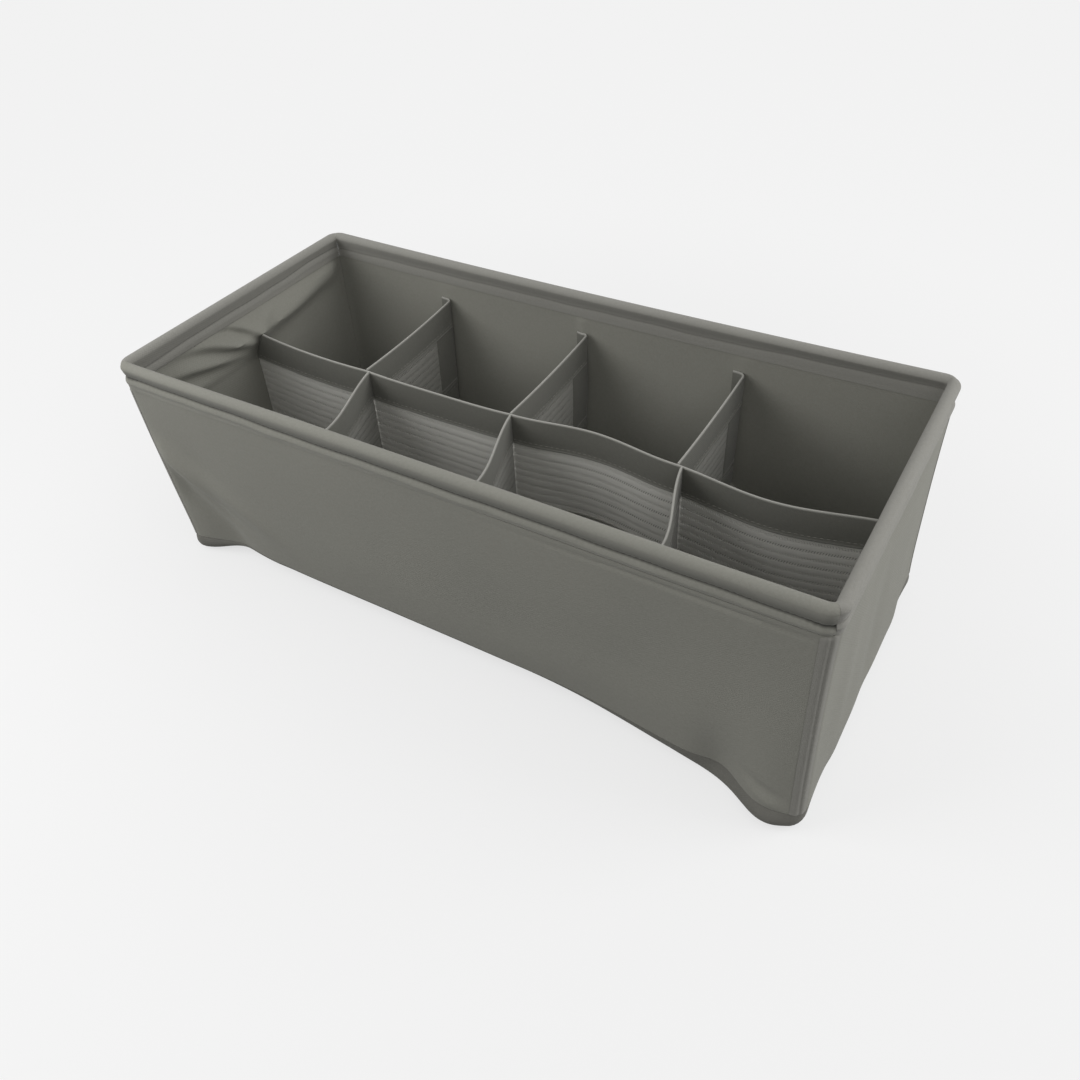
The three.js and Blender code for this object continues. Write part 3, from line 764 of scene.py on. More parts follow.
# The stitch line's distance from the crown, over the casing's cloth.
CROWN_TO_STITCH = CASING_THICKNESS * math.pi / 4
CROWN_TO_STITCH += math.hypot(STITCH_DEPTH - ROLL_DEPTH, CASING_THICKNESS / 2 - FOOT_HALF)
# Painted shade: a faint dark line painted along the stitch groove of the back, left and right rims, and on
# the front rim a strong one with a wider band of painted shade over the roll's lower half just above it.
SHADE_ABOVE_STITCH = 2.5
SEAM_SHADE = (46, 46, 42)
FAINT_SEAM_LINES = [Line(CROWN_TO_STITCH, 1.0, 0.3, SEAM_SHADE)]
SEAM_LINES = [
    Line(CROWN_TO_STITCH, 1.8, 0.95, SEAM_SHADE),
    Line(CROWN_TO_STITCH - SHADE_ABOVE_STITCH, 4.5, 0.5, SEAM_SHADE),
]
# Painted highlights: a light line painted along a tape's fold and a fainter one near its free edge, that is a
# binding's top edge and its lower edge.
EDGE_SHINE = (176, 175, 169)
EDGE_LINE_INSET = 0.6
EDGE_LINES = [Line(0, 1.3, 0.8, EDGE_SHINE), Line(BINDING_HEIGHT - EDGE_LINE_INSET, 1.0, 0.3, EDGE_SHINE)]

# Each cloth's ground, patches and specks.
SHELL_COLOURS = ((137, 136, 127), (129, 129, 121), (150, 149, 142))
RIM_COLOURS = ((142, 141, 134), (134, 133, 127), (156, 154, 149))
BASE_COLOURS = ((112, 111, 105), (105, 104, 98), (124, 123, 117))
# One net yarn in two copies: painted lighter for the long net as painted light, and painted darker for the
# half nets as painted shade.
NET_COLOURS = ((202, 201, 195), (193, 192, 186), (214, 213, 207))
HALF_NET_COLOURS = ((140, 139, 133), (132, 131, 125), (152, 151, 145))
BINDING_COLOURS = ((104, 104, 97), (97, 97, 90), (118, 117, 111))
HEM_COLOURS = ((158, 157, 150), (150, 149, 142), (170, 169, 163))
CORNER_COLOURS = ((136, 135, 128), (128, 127, 121), (150, 148, 143))
THREAD_COLOURS = ((124, 123, 116), (116, 115, 108), (140, 139, 132))
WIRE_COLOUR = (154, 156, 157)

# Each weave's thread pitch in millimetres, the strength of its bump, its roughness and its sheen.
SHELL_WEAVE = (0.8, 0.25, 0.9, 0.08)
RIM_WEAVE = (0.8, 0.25, 0.85, 0.12)
BASE_WEAVE = (0.9, 0.3, 0.92, 0.05)
NET_WEAVE = (0.5, 0.2, 0.7, 0.2)
TAPE_WEAVE = (0.7, 0.35, 0.8, 0.15)
CORNER_WEAVE = (0.8, 0.3, 0.85, 0.1)
THREAD_WEAVE = (0.3, 0.2, 0.7, 0.2)

SHELL_CLOTH = cloth_material("shell_cloth", SHELL_COLOURS, *SHELL_WEAVE)
# The rim cloths carry painted shade along their stitch grooves: faint on this one, strong on the front rim's
# cloth below.
RIM_CLOTH = cloth_material("rim_cloth", RIM_COLOURS, *RIM_WEAVE, FAINT_SEAM_LINES)
STITCHED_RIM_CLOTH = cloth_material("front_rim_cloth_painted_shade", SHELL_COLOURS, *RIM_WEAVE, SEAM_LINES)
BASE_CLOTH = cloth_material("base_cloth", BASE_COLOURS, *BASE_WEAVE)
# Painted light and painted shade copies of one net yarn.
NET_YARN = cloth_material("net_painted_light_yarn", NET_COLOURS, *NET_WEAVE)
HALF_NET_YARN = cloth_material("net_painted_shade_yarn", HALF_NET_COLOURS, *NET_WEAVE)
# Binding tape with painted highlights along its fold and near its free edge.
BINDING_TAPE = cloth_material("binding_tape", BINDING_COLOURS, *TAPE_WEAVE, EDGE_LINES)
HEM_TAPE = cloth_material("hem_tape", HEM_COLOURS, *TAPE_WEAVE)
CORNER_TAPE = cloth_material("corner_tape", CORNER_COLOURS, *CORNER_WEAVE)
SEWING_THREAD = cloth_material("sewing_thread", THREAD_COLOURS, *THREAD_WEAVE)
ROD_WIRE = wire_material("rod_wire", WIRE_COLOUR)


# Walls, rim, corners and base.
def side_range(side, trim=SEAM_GAP, step=COLUMN_STEP):
    """Positions along a side between its corner seams, about a step apart."""
    end = 1 - trim / side.whole
    return np.linspace(-end, end, 2 * int(side.whole / step) + 1)


def make_wall(key, side):
    """Two plies of cloth on a grid: from the base seam up to the casing, then straight up inside it."""
    rise = HEIGHT - CASING_HEIGHT - SEAM_RISE_BETWEEN
    shares = np.insert(np.linspace(0, 1, int(rise / ROW_STEP)), -1, 1 - SHOULDER_RAMP / rise)
    q, share = np.meshgrid(side_range(side), shares)
    z = mix(seam_level(side, q) + CLEARANCE, hang_level(side, q), share)
    q_top, share_top = np.meshgrid(q[0], ROWS_IN_CASING)
    z_top = mix(hang_level(side, q_top), rim_top(side, q_top) - ROD_ROOM, share_top)
    q, z = np.concatenate([q, q_top]), np.concatenate([z, z_top])
    cloth = Cloth()
    outer, inner = (shell(side, q, z, offset) for offset in (WALL / 2, -WALL / 2))
    cloth.sheet(outer, inner, np.stack([q * side.whole, z], -1))
    node = f"{key}_end_wall" if side.is_end else f"{key}_wall"
    piece = add_piece(f"{key}_cloth", cloth, SHELL_CLOTH, "shell_cloth", node)


def stitch_depth(side, q):
    """Depth of a casing's stitches below the rim: they wander, and run deeper along the side."""
    level = mix(STITCH_DEPTH_AT_START, STITCH_DEPTH, smooth(*START_DEPTH_ENDS, q))
    level = mix(level, STITCH_DEPTH_AT_END, smooth(*END_DEPTH_STARTS, q))
    return level + STITCH_WANDER * wobble(q * side.whole * STITCH_WAVES, side.distance)


def casing_outline(side, q, groove, hem):
    """Half thickness of the rolled casing and its depth below the rim, from the foot up to the crown: a fat
    round top, a waist drawn in at the stitches with small puckers, and a ridged hem under them."""
    s = (q * side.whole)[:, None]
    from_corner = side.whole - np.abs(s)
    angles = np.linspace(0, math.pi / 2, ROLL_STEPS)[None, :]
    depth = np.linspace(CASING_HEIGHT, ROLL_DEPTH, FLAT_STEPS)[None, :]
    belly = CASING_THICKNESS / 2
    foot = mix(FOOT_HALF, WALL / 2 + CLEARANCE + CASING_HEM_CLOTH, hem)
    stitched = stitch_depth(side, q)[:, None]
    below = depth - stitched
    waist = mix(belly, foot + WAIST_SLACK * hem, smooth(ROLL_DEPTH - WAIST_ABOVE_ROLL, stitched, depth))
    groove = groove * mix(1, GROOVE_LEFT_AT_CORNERS, smooth(*GROOVE_FADE, from_corner))
    ridge = hem * CASING_HEM_RIDGE * bell(below - CASING_HEM_FROM_STITCH, CASING_HEM_HALF_WIDTH)
    drawn = groove * GROOVE_DEPTH * bell(below, GROOVE_HALF_WIDTH)
    pucker = groove * PUCKER * np.cos(2 * math.pi * s / STITCH_PITCH) * bell(below, PUCKER_HALF_WIDTH)
    slack = CASING_HEM_SLACK * wobble(s * CASING_HEM_WAVES, side.distance + CASING_HEM_SEED)
    slack = slack * bell(depth - CASING_HEM_SLACK_DEPTH, CASING_HEM_SLACK_HALF_WIDTH)
    foot_line = mix(FOOT_LINE_AT_START, 1, smooth(*FOOT_LINE_GROWS, q))[:, None]
    thin_foot = foot_line * (foot - FOOT_HALF) * (1 - smooth(0, FOOT_LINE_HEIGHT, CASING_HEIGHT - depth))
    lower = np.maximum(waist + ridge - drawn + pucker + slack * hem - thin_foot, FOOT_HALF)
    upper = belly * np.cos(angles) + 0 * s
    half = np.concatenate([lower, upper[:, 1:]], 1)
    half = half - np.minimum(END_PINCH * np.exp(-from_corner / END_PINCH_LENGTH), END_PINCH_MOST * half)
    deep = np.concatenate([depth + 0 * s, ROLL_DEPTH * (1 - np.sin(angles[:, 1:])) + 0 * s], 1)
    return half, deep


def make_casing(key, side):
    """The casing's outline on both faces of the wall, hollow round the rod, carried round the side."""
    q = side_range(side, step=COLUMN_STEP / 2)
    outer_half, outer_deep = casing_outline(side, q, side.groove, 1.0)
    inner_half, inner_deep = casing_outline(side, q, side.groove * side.inner_hem, side.inner_hem)
    bore_half = np.minimum(outer_half.min(0), inner_half.min(0)) - CASING_CLOTH
    bore_half = np.maximum(np.broadcast_to(bore_half, outer_half.shape), WALL / 2 + BORE_GAP)
    bore_half = np.where(outer_deep < CASING_CLOTH, 0.0, bore_half)
    bore_deep = np.maximum(outer_deep, CASING_CLOTH)
    down = slice(None, None, -1)
    past = slice(-2, None, -1)
    across = np.concatenate([outer_half, -inner_half[:, past], -bore_half[:, :-1], bore_half[:, down]], 1)
    deep = np.concatenate([outer_deep, inner_deep[:, past], bore_deep[:, :-1], bore_deep[:, down]], 1)
    x, y, nx, ny = (value[:, None] for value in on_plan(side, q))
    out = across - rim_bow(side, q)[:, None]
    rings = np.stack([x + nx * out, y + ny * out, rim_top(side, q)[:, None] - deep], -1)
    steps = np.hypot(np.diff(across, axis=1, prepend=0), np.diff(deep, axis=1, prepend=0))
    around = np.cumsum(steps, 1) - np.cumsum(steps, 1)[:, outer_half.shape[1] - 1, None]
    wander = (stitch_depth(side, q) - STITCH_DEPTH)[:, None] * smooth(0, ROLL_DEPTH, np.abs(around))
    around = around - np.sign(around) * wander
    cloth = Cloth()
    cloth.sweep(rings, np.stack([(q * side.whole)[:, None] + 0 * around, around], -1))
    # The front rim takes the cloth with the strong painted groove shade.
    material = STITCHED_RIM_CLOTH if key == "front" else RIM_CLOTH
    piece = add_piece(f"{key}_rim_roll", cloth, material, "rim_cloth", f"{key}_rim_casing")


def corner_strip(side, q, up, offset):
    z = mix(seam_level(side, q) + CLEARANCE, hang_level(side, q), up)
    return shell(side, q, z, offset)


def make_corner_tape(name, side, after):
    """A tape over a corner seam: a strip that bends round the corner, with a dented crown along it."""
    across = np.linspace(-CORNER_TAPE_BEFORE, CORNER_TAPE_PAST, CORNER_TAPE_COLUMNS)[None, :]
    up = np.linspace(0, 1, CORNER_TAPE_ROWS)[:, None]
    edge = np.minimum(across + CORNER_TAPE_BEFORE, CORNER_TAPE_PAST - across)
    dent = CORNER_TAPE_DENT * bell(across - CORNER_TAPE_DENT_AT, CORNER_TAPE_DENT_HALF_WIDTH)
    crown = CORNER_TAPE_CROWN * smooth(0, CORNER_TAPE_SLOPE, edge) - dent
    faces = []
    for offset in (WALL / 2 + CORNER_TAPE_EDGE + crown, WALL / 2 + SEAM_GAP + 0 * crown):
        before = corner_strip(side, 1 + np.minimum(across, 0) / side.whole, up, offset)
        past = corner_strip(after, -1 + np.maximum(across, 0) / after.whole, up, offset)
        faces.append(np.where(across[..., None] <= 0, before, past))
    cloth = Cloth()
    cloth.sheet(*faces, np.stack(np.broadcast_arrays(across, up * HEIGHT), -1))
    piece = add_piece(f"{name}_welt", cloth, CORNER_TAPE, "corner_tape", f"{name}_corner_tape")
    width = CORNER_TAPE_BEFORE + CORNER_TAPE_PAST + 2 * CORNER_TAPE_TURNED_UNDER


def base_ring(angle, inset, depth):
    """A ring of the base round the box, at a depth into the cloth. The turn-up is an arc from the seam to the
    ground, bulged at the corners and the lobe. inset is 1 for the ring where the floor starts, and else 0."""
    rings = []
    for side in SIDES.values():
        q = side_range(side, trim=0.0)[:-1]
        seam = seam_level(side, q)
        edge = edge_level(side, q) if inset == 0 else 0 * q
        stands_out = bulge(side, q) * (math.sin(2 * angle) + FLARE * math.cos(angle) ** 2)
        turned = TURN_UP_RADIUS * (1 - math.cos(angle)) - stands_out
        sloped = inset * (FLOOR_INSET + FLOOR_SLOPE * side.hang(q))
        offset = WALL / 2 - depth
        high_x, high_y, nx, ny = on_plan(side, q)
        tucked = offset + folds(side, q, seam) * math.cos(angle) ** 2
        low_x, low_y, _, _ = on_plan(side, q, TURN_UP_RADIUS - offset, BASE_INNER_CORNER_RADIUS)
        share = (turned + sloped) / TURN_UP_RADIUS
        dx, dy = sway(side, q, seam)
        x = mix(high_x + nx * tucked, low_x, share) + dx
        y = mix(high_y + ny * tucked, low_y, share) + dy
        z = depth + mix(edge, seam - depth, 1 - math.sin(angle))
        rings.append(np.stack([x, y, z], -1))
    return np.concatenate(rings)


def floor_rings(outline, depth):
    """The floor inside its outline: the outline shrunk towards the middle line, with slow waves on top."""
    middle_half = MID_HALF_LENGTH - MID_HALF_WIDTH
    middle = np.clip(outline[:, 0], -middle_half, middle_half)
    rings = []
    for share in np.linspace(1, FLOOR_LEAST, FLOOR_RINGS)[1:]:
        x = mix(middle * FLOOR_MIDDLE, outline[:, 0], share)
        y = outline[:, 1] * share
        waves = wobble(x * FLOOR_WAVES[0], FLOOR_SEEDS[0]) * wobble(y * FLOOR_WAVES[1], FLOOR_SEEDS[1])
        wave = FLOOR_WAVE * (1 - share) ** FLOOR_WAVE_GROWTH * (1 + waves)
        rings.append(np.stack([x, y, depth + (wave if depth else 0 * wave)], -1))
    return rings


def make_base():
    """The base cloth as a closed bowl: its underside from the middle out, up round the turn-up to the seam,
    over the cloth's edge, and back down inside."""
    angles = np.linspace(math.pi / 2, 0, TURN_UP_STEPS)
    outside, inside = ([base_ring(math.pi / 2, 1, depth)] + [base_ring(angle, 0, depth) for angle in angles]
                       for depth in (0.0, WALL))
    under = floor_rings(outside[0], 0.0)
    upper = floor_rings(inside[0], WALL)
    rings = np.array(under[::-1] + outside + inside[::-1] + upper)
    cloth = Cloth()
    cloth.sweep(rings, rings[..., :2] + rings[..., 2:] * np.array([0.0, 1.0]))
    piece = add_piece("base_cloth", cloth, BASE_CLOTH, "base_cloth", "bottom_panel")


# Dividers. A path's line gives the place and normal of a divider at a distance along it and a height, and its
# top gives the height of the divider's top edge there.
Path = namedtuple("Path", "line top length")


def in_bay(x):
    """The bay between crossings that x lies in, and its share of the way through it."""
    bay = np.clip(np.searchsorted(BAY_ENDS, x) - 1, 0, len(BAY_BOWS) - 1)
    return bay, (x - BAY_ENDS[bay]) / (BAY_ENDS[bay + 1] - BAY_ENDS[bay])


def long_bow(x):
    """How far the long net stands from the middle line: a squared sine in each bay."""
    bay, share = in_bay(x)
    return BAY_BOWS[bay] * np.sin(math.pi * share) ** 2


def long_top(distance):
    """Height of the long divider's top edge: straight from end to end of each bay, less an arch of sag."""
    bay, share = in_bay(distance - MID_HALF_LENGTH)
    return mix(BAY_TOPS[bay], BAY_TOPS[bay + 1], share) - arch(BAY_SAGS[bay], share)


def long_line(distance, z):
    """The long divider runs from the left wall's inner face to the right one's."""
    nominal = distance - MID_HALF_LENGTH
    to_left = np.clip((CROSSINGS[0] - nominal) / (CROSSINGS[0] - BAY_ENDS[0]), 0, 1)
    to_right = np.clip((nominal - CROSSINGS[-1]) / (BAY_ENDS[-1] - CROSSINGS[-1]), 0, 1)
    left_gap = MID_HALF_LENGTH + CLEARANCE - inner_face(LEFT, 0 * z, z)
    right_gap = inner_face(RIGHT, 0 * z, z) - CLEARANCE - MID_HALF_LENGTH
    x = nominal + to_left * left_gap + to_right * right_gap
    return x, long_bow(nominal), 0 * x, 1 + 0 * x


def half_top(distance):
    """Height of a half divider's top edge: it climbs from the crossing to the wall, less an arch of sag."""
    share = np.clip(distance / MID_HALF_WIDTH, 0, 1)
    return mix(TOP_AT_CROSSINGS, TOP_AT_WALLS, share) - arch(HALF_SAG, share)


def half_path(start_x, side, slant=0.0, lean=0.0):
    """A half divider: from the long divider towards a wall, a quarter turn, and a flange along the wall. Its
    run may go aside by a slant, and lean over between its ends, from its hem up to its binding."""
    facing = side.outward[1]
    start_out = facing * long_bow(np.array([start_x]))[0] + TAPE_OUTER + CLEARANCE
    upright_below = TOP_AT_WALLS - DIVIDER_HEIGHT + HEM_HEIGHT - LEAN_BELOW_HEM_TOP
    full_above = TOP_AT_CROSSINGS - HALF_SAG - BINDING_HEIGHT + LEAN_ABOVE_BINDING_FOOT

    def run_x(share, z):
        up = smooth(upright_below, full_above, z)
        return start_x + slant * share + lean * up * np.sin(math.pi * share**LEAN_SKEW)

    def line(distance, z):
        distance, z = np.broadcast_arrays(distance, z)
        share = np.clip(distance / HALF_RUN, 0, 1)
        turn = np.clip((distance - HALF_RUN) / BEND_RADIUS, 0, math.pi / 2)
        beyond = np.clip(distance - HALF_RUN - BEND_LENGTH, 0, None)
        at_x = run_x(share, z) - BEND_RADIUS * (1 - np.cos(turn)) - beyond
        wall_x = np.where(distance > HALF_RUN, at_x, start_x + slant)
        wall = inner_face(side, side.forward[0] * wall_x / side.whole, z) - TAPE_OUTER - FLANGE_CLEARANCE
        out = mix(start_out, wall - BEND_RADIUS, share) + BEND_RADIUS * np.sin(turn)
        ahead, behind = np.minimum(share + SLOPE_STEP, 1), np.maximum(share - SLOPE_STEP, 0)
        slope = (run_x(ahead, z) - run_x(behind, z)) / ((ahead - behind) * HALF_RUN)
        heading = turn - np.arctan(slope) * (1 - turn / (math.pi / 2))
        return at_x, facing * out, np.cos(heading), facing * np.sin(heading)

    return Path(line, half_top, HALF_LENGTH)


def on_path(path, distance, z, across):
    """Points at distances along a divider and heights, set off across it."""
    x, y, nx, ny = path.line(distance, z)
    return np.stack(np.broadcast_arrays(x + nx * across, y + ny * across, z), -1)


def strand_range(start, end, pitch, strand):
    """Middles of strands and both edges of the gaps between them, from start to end."""
    count = max(1, int(round((end - start) / pitch)))
    middles = np.linspace(start, end, count + 1)
    edges = np.stack([middles[:-1], middles[:-1] + strand / 2, middles[1:] - strand / 2], -1).ravel()
    return np.append(edges, middles[-1])


def net_rows():
    """A net's rows from inside its hem up to inside its binding, with a rib, the foot of a gap and the top of
    a gap in turn between them. Gives their rises, their half thicknesses, how far their yarns lean, and
    whether a gap lies above each."""
    ribs = strand_range(HEM_HEIGHT, DIVIDER_HEIGHT - BINDING_HEIGHT, RIB_PITCH, RIB_WIDTH)
    tucked = TAPE_CLOTH + CLEARANCE
    rises = np.concatenate([[tucked], ribs, [DIVIDER_HEIGHT - tucked]])
    band, place = np.divmod(np.arange(len(rises)) - 1, 3)
    half = np.where(place == 0, RIB_HALF_THICKNESS, YARN_HALF_THICKNESS)
    half[[0, 1, -2, -1]] = NET_THICKNESS / 2
    lean = YARN_SLANT * np.where(band % 2 == 0, 1, -1) * np.array([0, -1, 1])[place]
    lean[[0, -1]] = 0
    return rises, half, lean, place == 1


def make_net(name, path, closed_end):
    """A ribbed net: ribs along it, fat in their middle, and between them thin yarns that lean left and right
    in turn, with every gap between them open. It is closed inside its tapes."""
    rises, half, lean, gap_above = net_rows()
    open_end = path.length - closed_end
    strands = strand_range(NET_MARGIN, open_end - NET_MARGIN, YARN_PITCH, YARN_WIDTH)
    closed = np.linspace(open_end, path.length, 2 + int(closed_end / COLUMN_STEP))
    along = np.concatenate([[0.0], strands, closed])
    column = np.arange(len(along))
    is_open = column < len(strands)
    gap_after = is_open & (column % 3 == 2)
    distance, rise = np.meshgrid(along, rises)
    distance = distance + lean[:, None] * (is_open & (column > 1))
    z = path.top(distance) - DIVIDER_HEIGHT + rise
    half = np.where(along >= open_end - NET_MARGIN, YARN_HALF_THICKNESS, half[:, None])
    cloth = Cloth()
    cloth.sheet(on_path(path, distance, z, half), on_path(path, distance, z, -half),
                np.stack([distance, rise], -1), gap_above[:-1, None] & gap_after[None, :-1])
    # The half nets take the net yarn painted darker as painted shade, and the long net takes the one painted
    # lighter as painted light.
    yarn = HALF_NET_YARN if closed_end else NET_YARN
    piece = add_piece(f"{name}_mesh", cloth, yarn, "divider_net", f"{name}_net")
    open_share = (1 - YARN_WIDTH / YARN_PITCH) * (1 - RIB_WIDTH / RIB_PITCH)
    area = path.length * (DIVIDER_HEIGHT - NET_RISE * open_share)


def tape_section(height):
    """Outline of a folded tape as distances across and from its folded edge: round at the fold, with a small
    bead along each free edge."""
    angles = np.linspace(0, math.pi, TAPE_FOLD_STEPS)
    fold = [(TAPE_OUTER * math.cos(a), TAPE_FOLD_DEPTH - TAPE_FOLD_DEPTH * math.sin(a)) for a in angles]
    face = [(TAPE_OUTER + out, height - inward) for inward, out in TAPE_FACE]
    face += [(TAPE_OUTER, height * TAPE_FACE_MIDDLE)]
    other = [(-across, down) for across, down in reversed(face)]
    lining = [(-TAPE_INNER, height), (-TAPE_INNER, TAPE_CLOTH)]
    lining += [(-across, down) for across, down in reversed(lining)]
    return np.array(face + fold + other + lining)


def add_tape(cloth, path, height, edge_drop, up, seed):
    """A folded tape along an edge of a divider, carried in short steps with a slight wave in its faces. Its
    fold lies a drop below the divider's top edge, and the tape stands up from it, or hangs where up is -1."""
    distance = np.linspace(0, path.length, int(path.length / TAPE_STEP))[:, None]
    across, down = tape_section(height).T[:, None, :]
    is_face = (np.abs(across) > (TAPE_INNER + TAPE_OUTER) / 2) & (down > TAPE_WAVE_FROM_FOLD)
    wave = TAPE_WAVE * wobble(distance * TAPE_WAVES, seed) * np.sign(across) * is_face
    z = path.top(distance) - edge_drop + up * down + 0 * across
    rings = on_path(path, distance + 0 * z, z, across + wave)
    cloth.sweep(rings, np.stack(np.broadcast_arrays(distance, down * np.sign(across)), -1))


def add_side_band(cloth, path):
    """A strip of tape on each face of a net beside the wall that it is sewn to."""
    start = HALF_RUN - SIDE_BAND
    rises = np.linspace(HEM_HEIGHT, DIVIDER_HEIGHT - BINDING_HEIGHT, SIDE_BAND_STEPS)
    distance, rise = np.meshgrid(np.linspace(start, path.length, SIDE_BAND_STEPS), rises)
    z = path.top(distance) - DIVIDER_HEIGHT + rise
    edge = smooth(start, start + SIDE_BAND_EDGE, distance)
    raised = mix(TAPE_INNER + SEAM_GAP, TAPE_OUTER - SEAM_GAP, edge)
    for face in (1, -1):
        outer = on_path(path, distance, z, face * raised)
        inner = on_path(path, distance, z, face * TAPE_INNER)
        cloth.sheet(outer, inner, np.stack([distance, rise], -1))


def add_stitches(cloth, start, direction, normal):
    """Short raised stitches: each a spindle with a point at both ends and four sides between."""
    side = np.cross(direction, normal)
    around = [normal, side, -normal, -side]
    rows = [start[:, None]]
    for share in STITCH_SHOULDERS:
        centre = start + direction * STITCH_LENGTH * share
        rows.append(np.stack([centre + STITCH_RADIUS * away for away in around], 1))
    rows.append((start + direction * STITCH_LENGTH)[:, None])
    points = np.concatenate(rows, 1)
    count, size = points.shape[:2]
    faces = []
    for k in range(4):
        m = (k + 1) % 4
        faces += [(0, 1 + m, 1 + k), (1 + k, 1 + m, 5 + m, 5 + k), (5 + k, 5 + m, 9)]
    every = [[index + size * n for index in face] for n in range(count) for face in faces]
    coordinates = np.zeros((count, size, 2)) + np.linspace(0, STITCH_LENGTH, size)[None, :, None]
    cloth.add(points, coordinates, every)


def stitch_rows(cloth, path, drops):
    """Rows of stitches along both faces of a divider's tapes, at drops below its top edge."""
    distance = np.arange(STITCH_FIRST, path.length - STITCH_LAST, STITCH_PITCH)
    for drop in drops:
        for face in (1, -1):
            start, end = (on_path(path, at, path.top(at) - drop, face * (TAPE_OUTER + STITCH_LIFT))
                          for at in (distance, distance + STITCH_LENGTH))
            direction = (end - start) / np.linalg.norm(end - start, axis=1, keepdims=True)
            _, _, nx, ny = path.line(distance, path.top(distance) - drop)
            normal = face * np.stack(np.broadcast_arrays(nx, ny, 0 * distance), -1)
            add_stitches(cloth, start, direction, normal)


def make_divider(name, path, has_side_band, seed):
    """A divider: its net, the tape over its top edge, the hem round its lower edge, and their stitches."""
    closed = path.length - HALF_RUN + SIDE_BAND if has_side_band else 0.0
    make_net(name, path, closed)
    binding = Cloth()
    add_tape(binding, path, BINDING_HEIGHT, 0.0, -1, seed)
    piece = add_piece(f"{name}_top_tape", binding, BINDING_TAPE, "divider_binding", f"{name}_binding")
    hem = Cloth()
    add_tape(hem, path, HEM_HEIGHT, DIVIDER_HEIGHT, 1, seed + 2)
    area = 2 * HEM_HEIGHT * path.length
    if has_side_band:
        add_side_band(hem, path)
        area += 2 * closed * NET_RISE
    tape = BINDING_TAPE if has_side_band else HEM_TAPE
    piece = add_piece(f"{name}_hem_tape", hem, tape, "divider_binding", f"{name}_hem")
    stitches = Cloth()
    hem_row = DIVIDER_HEIGHT - HEM_HEIGHT + STITCH_FROM_EDGE
    stitch_rows(stitches, path, (BINDING_HEIGHT - STITCH_FROM_EDGE, hem_row))
    add_piece(f"{name}_stitches", stitches, SEWING_THREAD, "divider_binding")


def make_dividers():
    make_divider("long_divider", Path(long_line, long_top, 2 * MID_HALF_LENGTH), False, 1.0)
    for k, x in enumerate(CROSSINGS):
        front_x = x + FRONT_HALF_STARTS[k]
        make_divider(f"cross_divider_{k + 1}_back", half_path(x, BACK), True, 2.0 + k)
        make_divider(f"cross_divider_{k + 1}_front",
                     half_path(front_x, FRONT, FRONT_HALF_SLANT, FRONT_HALF_LEAN), True, 2.0 + k)


def make_shell():
    for key, side in SIDES.items():
        make_wall(key, side)
        make_casing(key, side)
    make_corner_tape("front_right", FRONT, RIGHT)
    make_corner_tape("back_right", RIGHT, BACK)
    make_corner_tape("back_left", BACK, LEFT)
    make_corner_tape("front_left", LEFT, FRONT)


def paint_rod():
    """The rod is hidden in the casing, and keeps its CAD shape with a wire finish."""
    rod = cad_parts["rim_rod"]
    rod.data.materials.clear()
    rod.data.materials.append(ROD_WIRE)


# Stage, light and camera.
def seen_directly(tree):
    """1 for rays from the camera, and for those that gloss or glass sends on, and 0 for diffuse light."""
    path = add_node(tree, "LightPath", {})
    seen = math_node(tree, "MAXIMUM", path.outputs["Is Camera Ray"], path.outputs["Is Glossy Ray"])
    return math_node(tree, "MAXIMUM", seen, path.outputs["Is Transmission Ray"])


def plain_share(tree):
    """The floor's share of plain colour, from its value near the object to its value far from it."""
    away = add_node(tree, "VectorMath", {0: object_place(tree)}, operation="LENGTH").outputs["Value"]
    limits = {"From Min": GLOW_FROM, "From Max": GLOW_TO, "To Min": GLOW_NEAR, "To Max": GLOW_FAR}
    share = add_node(tree, "MapRange", {"Value": away, **limits}, interpolation_type="SMOOTHSTEP")
    return share.outputs[0]


def floor_material():
    """A pale matt floor that keeps a light shadow, and throws less light back than it shows. A share of what
    the camera sees of it is its own plain colour, and that share grows away from the object."""
    material, tree, shader = new_material("pale_floor")
    seen = seen_directly(tree)
    colour = blend(tree, seen, linear(FLOOR_FOR_LIGHT), linear(BACKGROUND))
    fill(tree, shader, {"Base Color": colour, "Roughness": 1.0, "Specular IOR Level": 0.0})
    plain = add_node(tree, "Emission", {"Color": linear(BACKGROUND)})
    share = math_node(tree, "MULTIPLY", seen, plain_share(tree))
    choice = add_node(tree, "MixShader", {"Fac": share, 1: shader.outputs[0], 2: plain.outputs[0]})
    fill(tree, tree.nodes["Material Output"], {"Surface": choice.outputs[0]})
    return material


def make_floor():
    mesh = bpy.data.meshes.new("floor")
    corners = [(x * FLOOR_HALF, y * FLOOR_HALF, 0) for x, y in ((-1, -1), (1, -1), (1, 1), (-1, 1))]
    mesh.from_pydata(corners, [], [(0, 1, 2, 3)])
    mesh.materials.append(floor_material())
    add_object("floor", mesh)


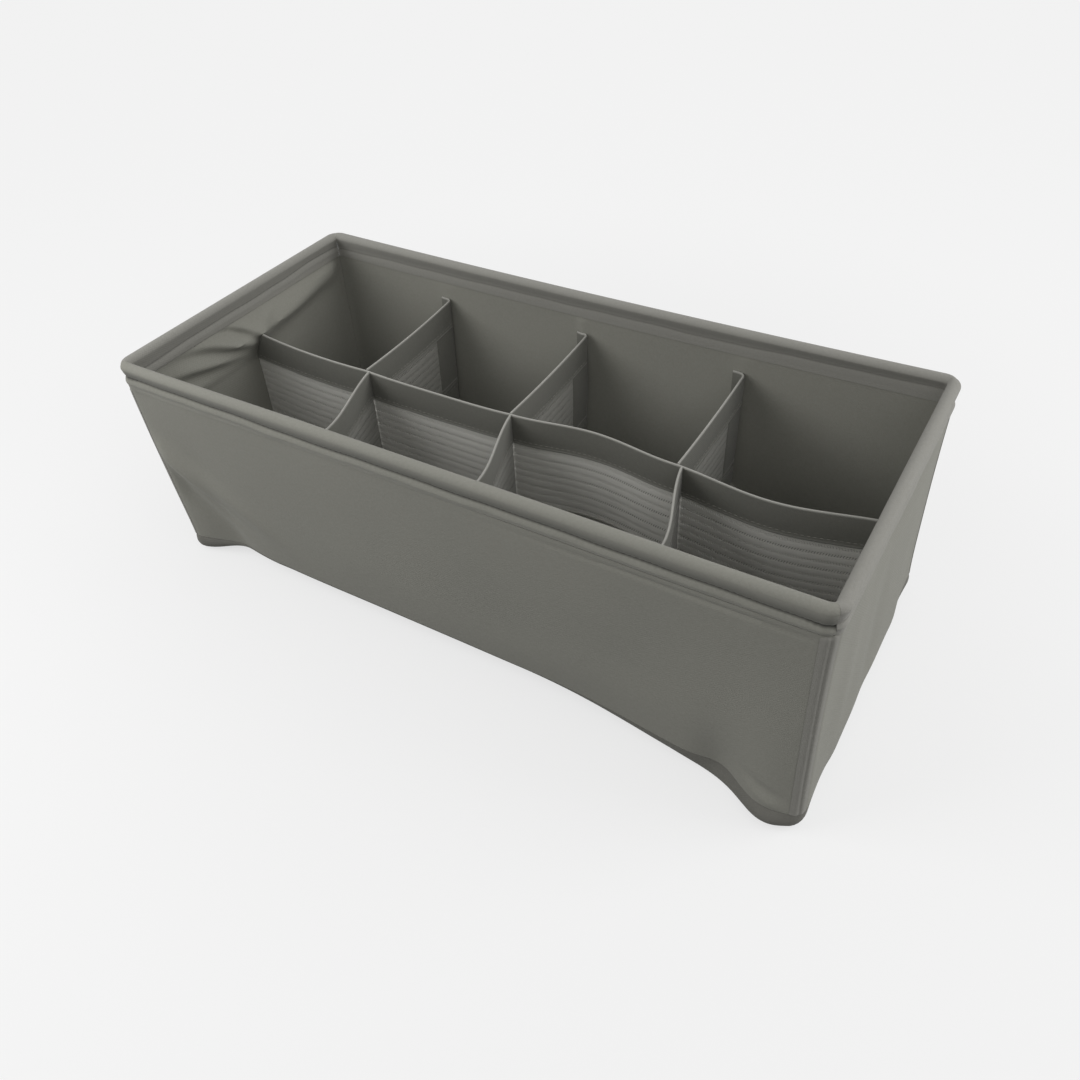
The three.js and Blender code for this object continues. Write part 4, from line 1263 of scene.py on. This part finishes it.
def make_world():
    """Even sky light, and the plain background colour where a camera, gloss or glass ray passes the floor."""
    world = bpy.data.worlds.new("studio")
    world.use_nodes = True
    bpy.context.scene.world = world
    tree = world.node_tree
    tree.nodes.clear()
    light = add_node(tree, "Background", {"Color": (1, 1, 1, 1), "Strength": SKY})
    plain = add_node(tree, "Background", {"Color": linear(BACKGROUND), "Strength": 1.0})
    values = {"Fac": seen_directly(tree), 1: light.outputs[0], 2: plain.outputs[0]}
    choice = add_node(tree, "MixShader", values)
    add_node(tree, "OutputWorld", {"Surface": choice.outputs[0]})


def placed(right, up, back, place):
    """The matrix of something at a place, from the directions of its right, its top and its back."""
    rows = [(*row, move) for row, move in zip(np.stack([right, up, back], 1), place)]
    return Matrix(rows + [(0, 0, 0, 1)])


def make_lamp(lamp):
    """A soft sun or a square panel that shines from its place at the middle of the object's base."""
    data = bpy.data.lights.new(lamp.name, lamp.kind)
    data.energy = lamp.strength
    if lamp.kind == "SUN":
        data.angle = math.radians(lamp.size)
    else:
        data.size = lamp.size
    back = np.array(lamp.place) / np.linalg.norm(lamp.place)
    across = np.cross([0.0, 0.0, 1.0], back)
    across = across / np.linalg.norm(across)
    add_object(lamp.name, data).matrix_world = placed(across, np.cross(back, across), back, lamp.place)


def make_camera():
    """The camera stands where the photograph was taken from, turned by azimuth, elevation and roll."""
    azimuth, elevation, roll = (math.radians(v) for v in (CAMERA_AZIMUTH, CAMERA_ELEVATION, CAMERA_ROLL))
    back = np.array([math.sin(azimuth) * math.cos(elevation), -math.cos(azimuth) * math.cos(elevation),
                     math.sin(elevation)])
    level = np.array([math.cos(azimuth), math.sin(azimuth), 0.0])
    upright = np.cross(back, level)
    right = math.cos(roll) * level + math.sin(roll) * upright
    up = math.cos(roll) * upright - math.sin(roll) * level
    data = bpy.data.cameras.new("photo_camera")
    data.lens = CAMERA_LENS
    data.sensor_width = CAMERA_SENSOR
    camera = add_object("photo_camera", data)
    camera.matrix_world = placed(right, up, back, CAMERA_PLACE)
    bpy.context.scene.camera = camera


def make_stage():
    bpy.context.scene.view_settings.view_transform = "Standard"
    make_camera()
    make_floor()
    make_world()
    for lamp in LAMPS:
        make_lamp(lamp)


def corner_list(box):
    return [[float(value) for value in corner] for corner in box]


make_stage()
make_shell()
make_base()
make_dividers()
paint_rod()
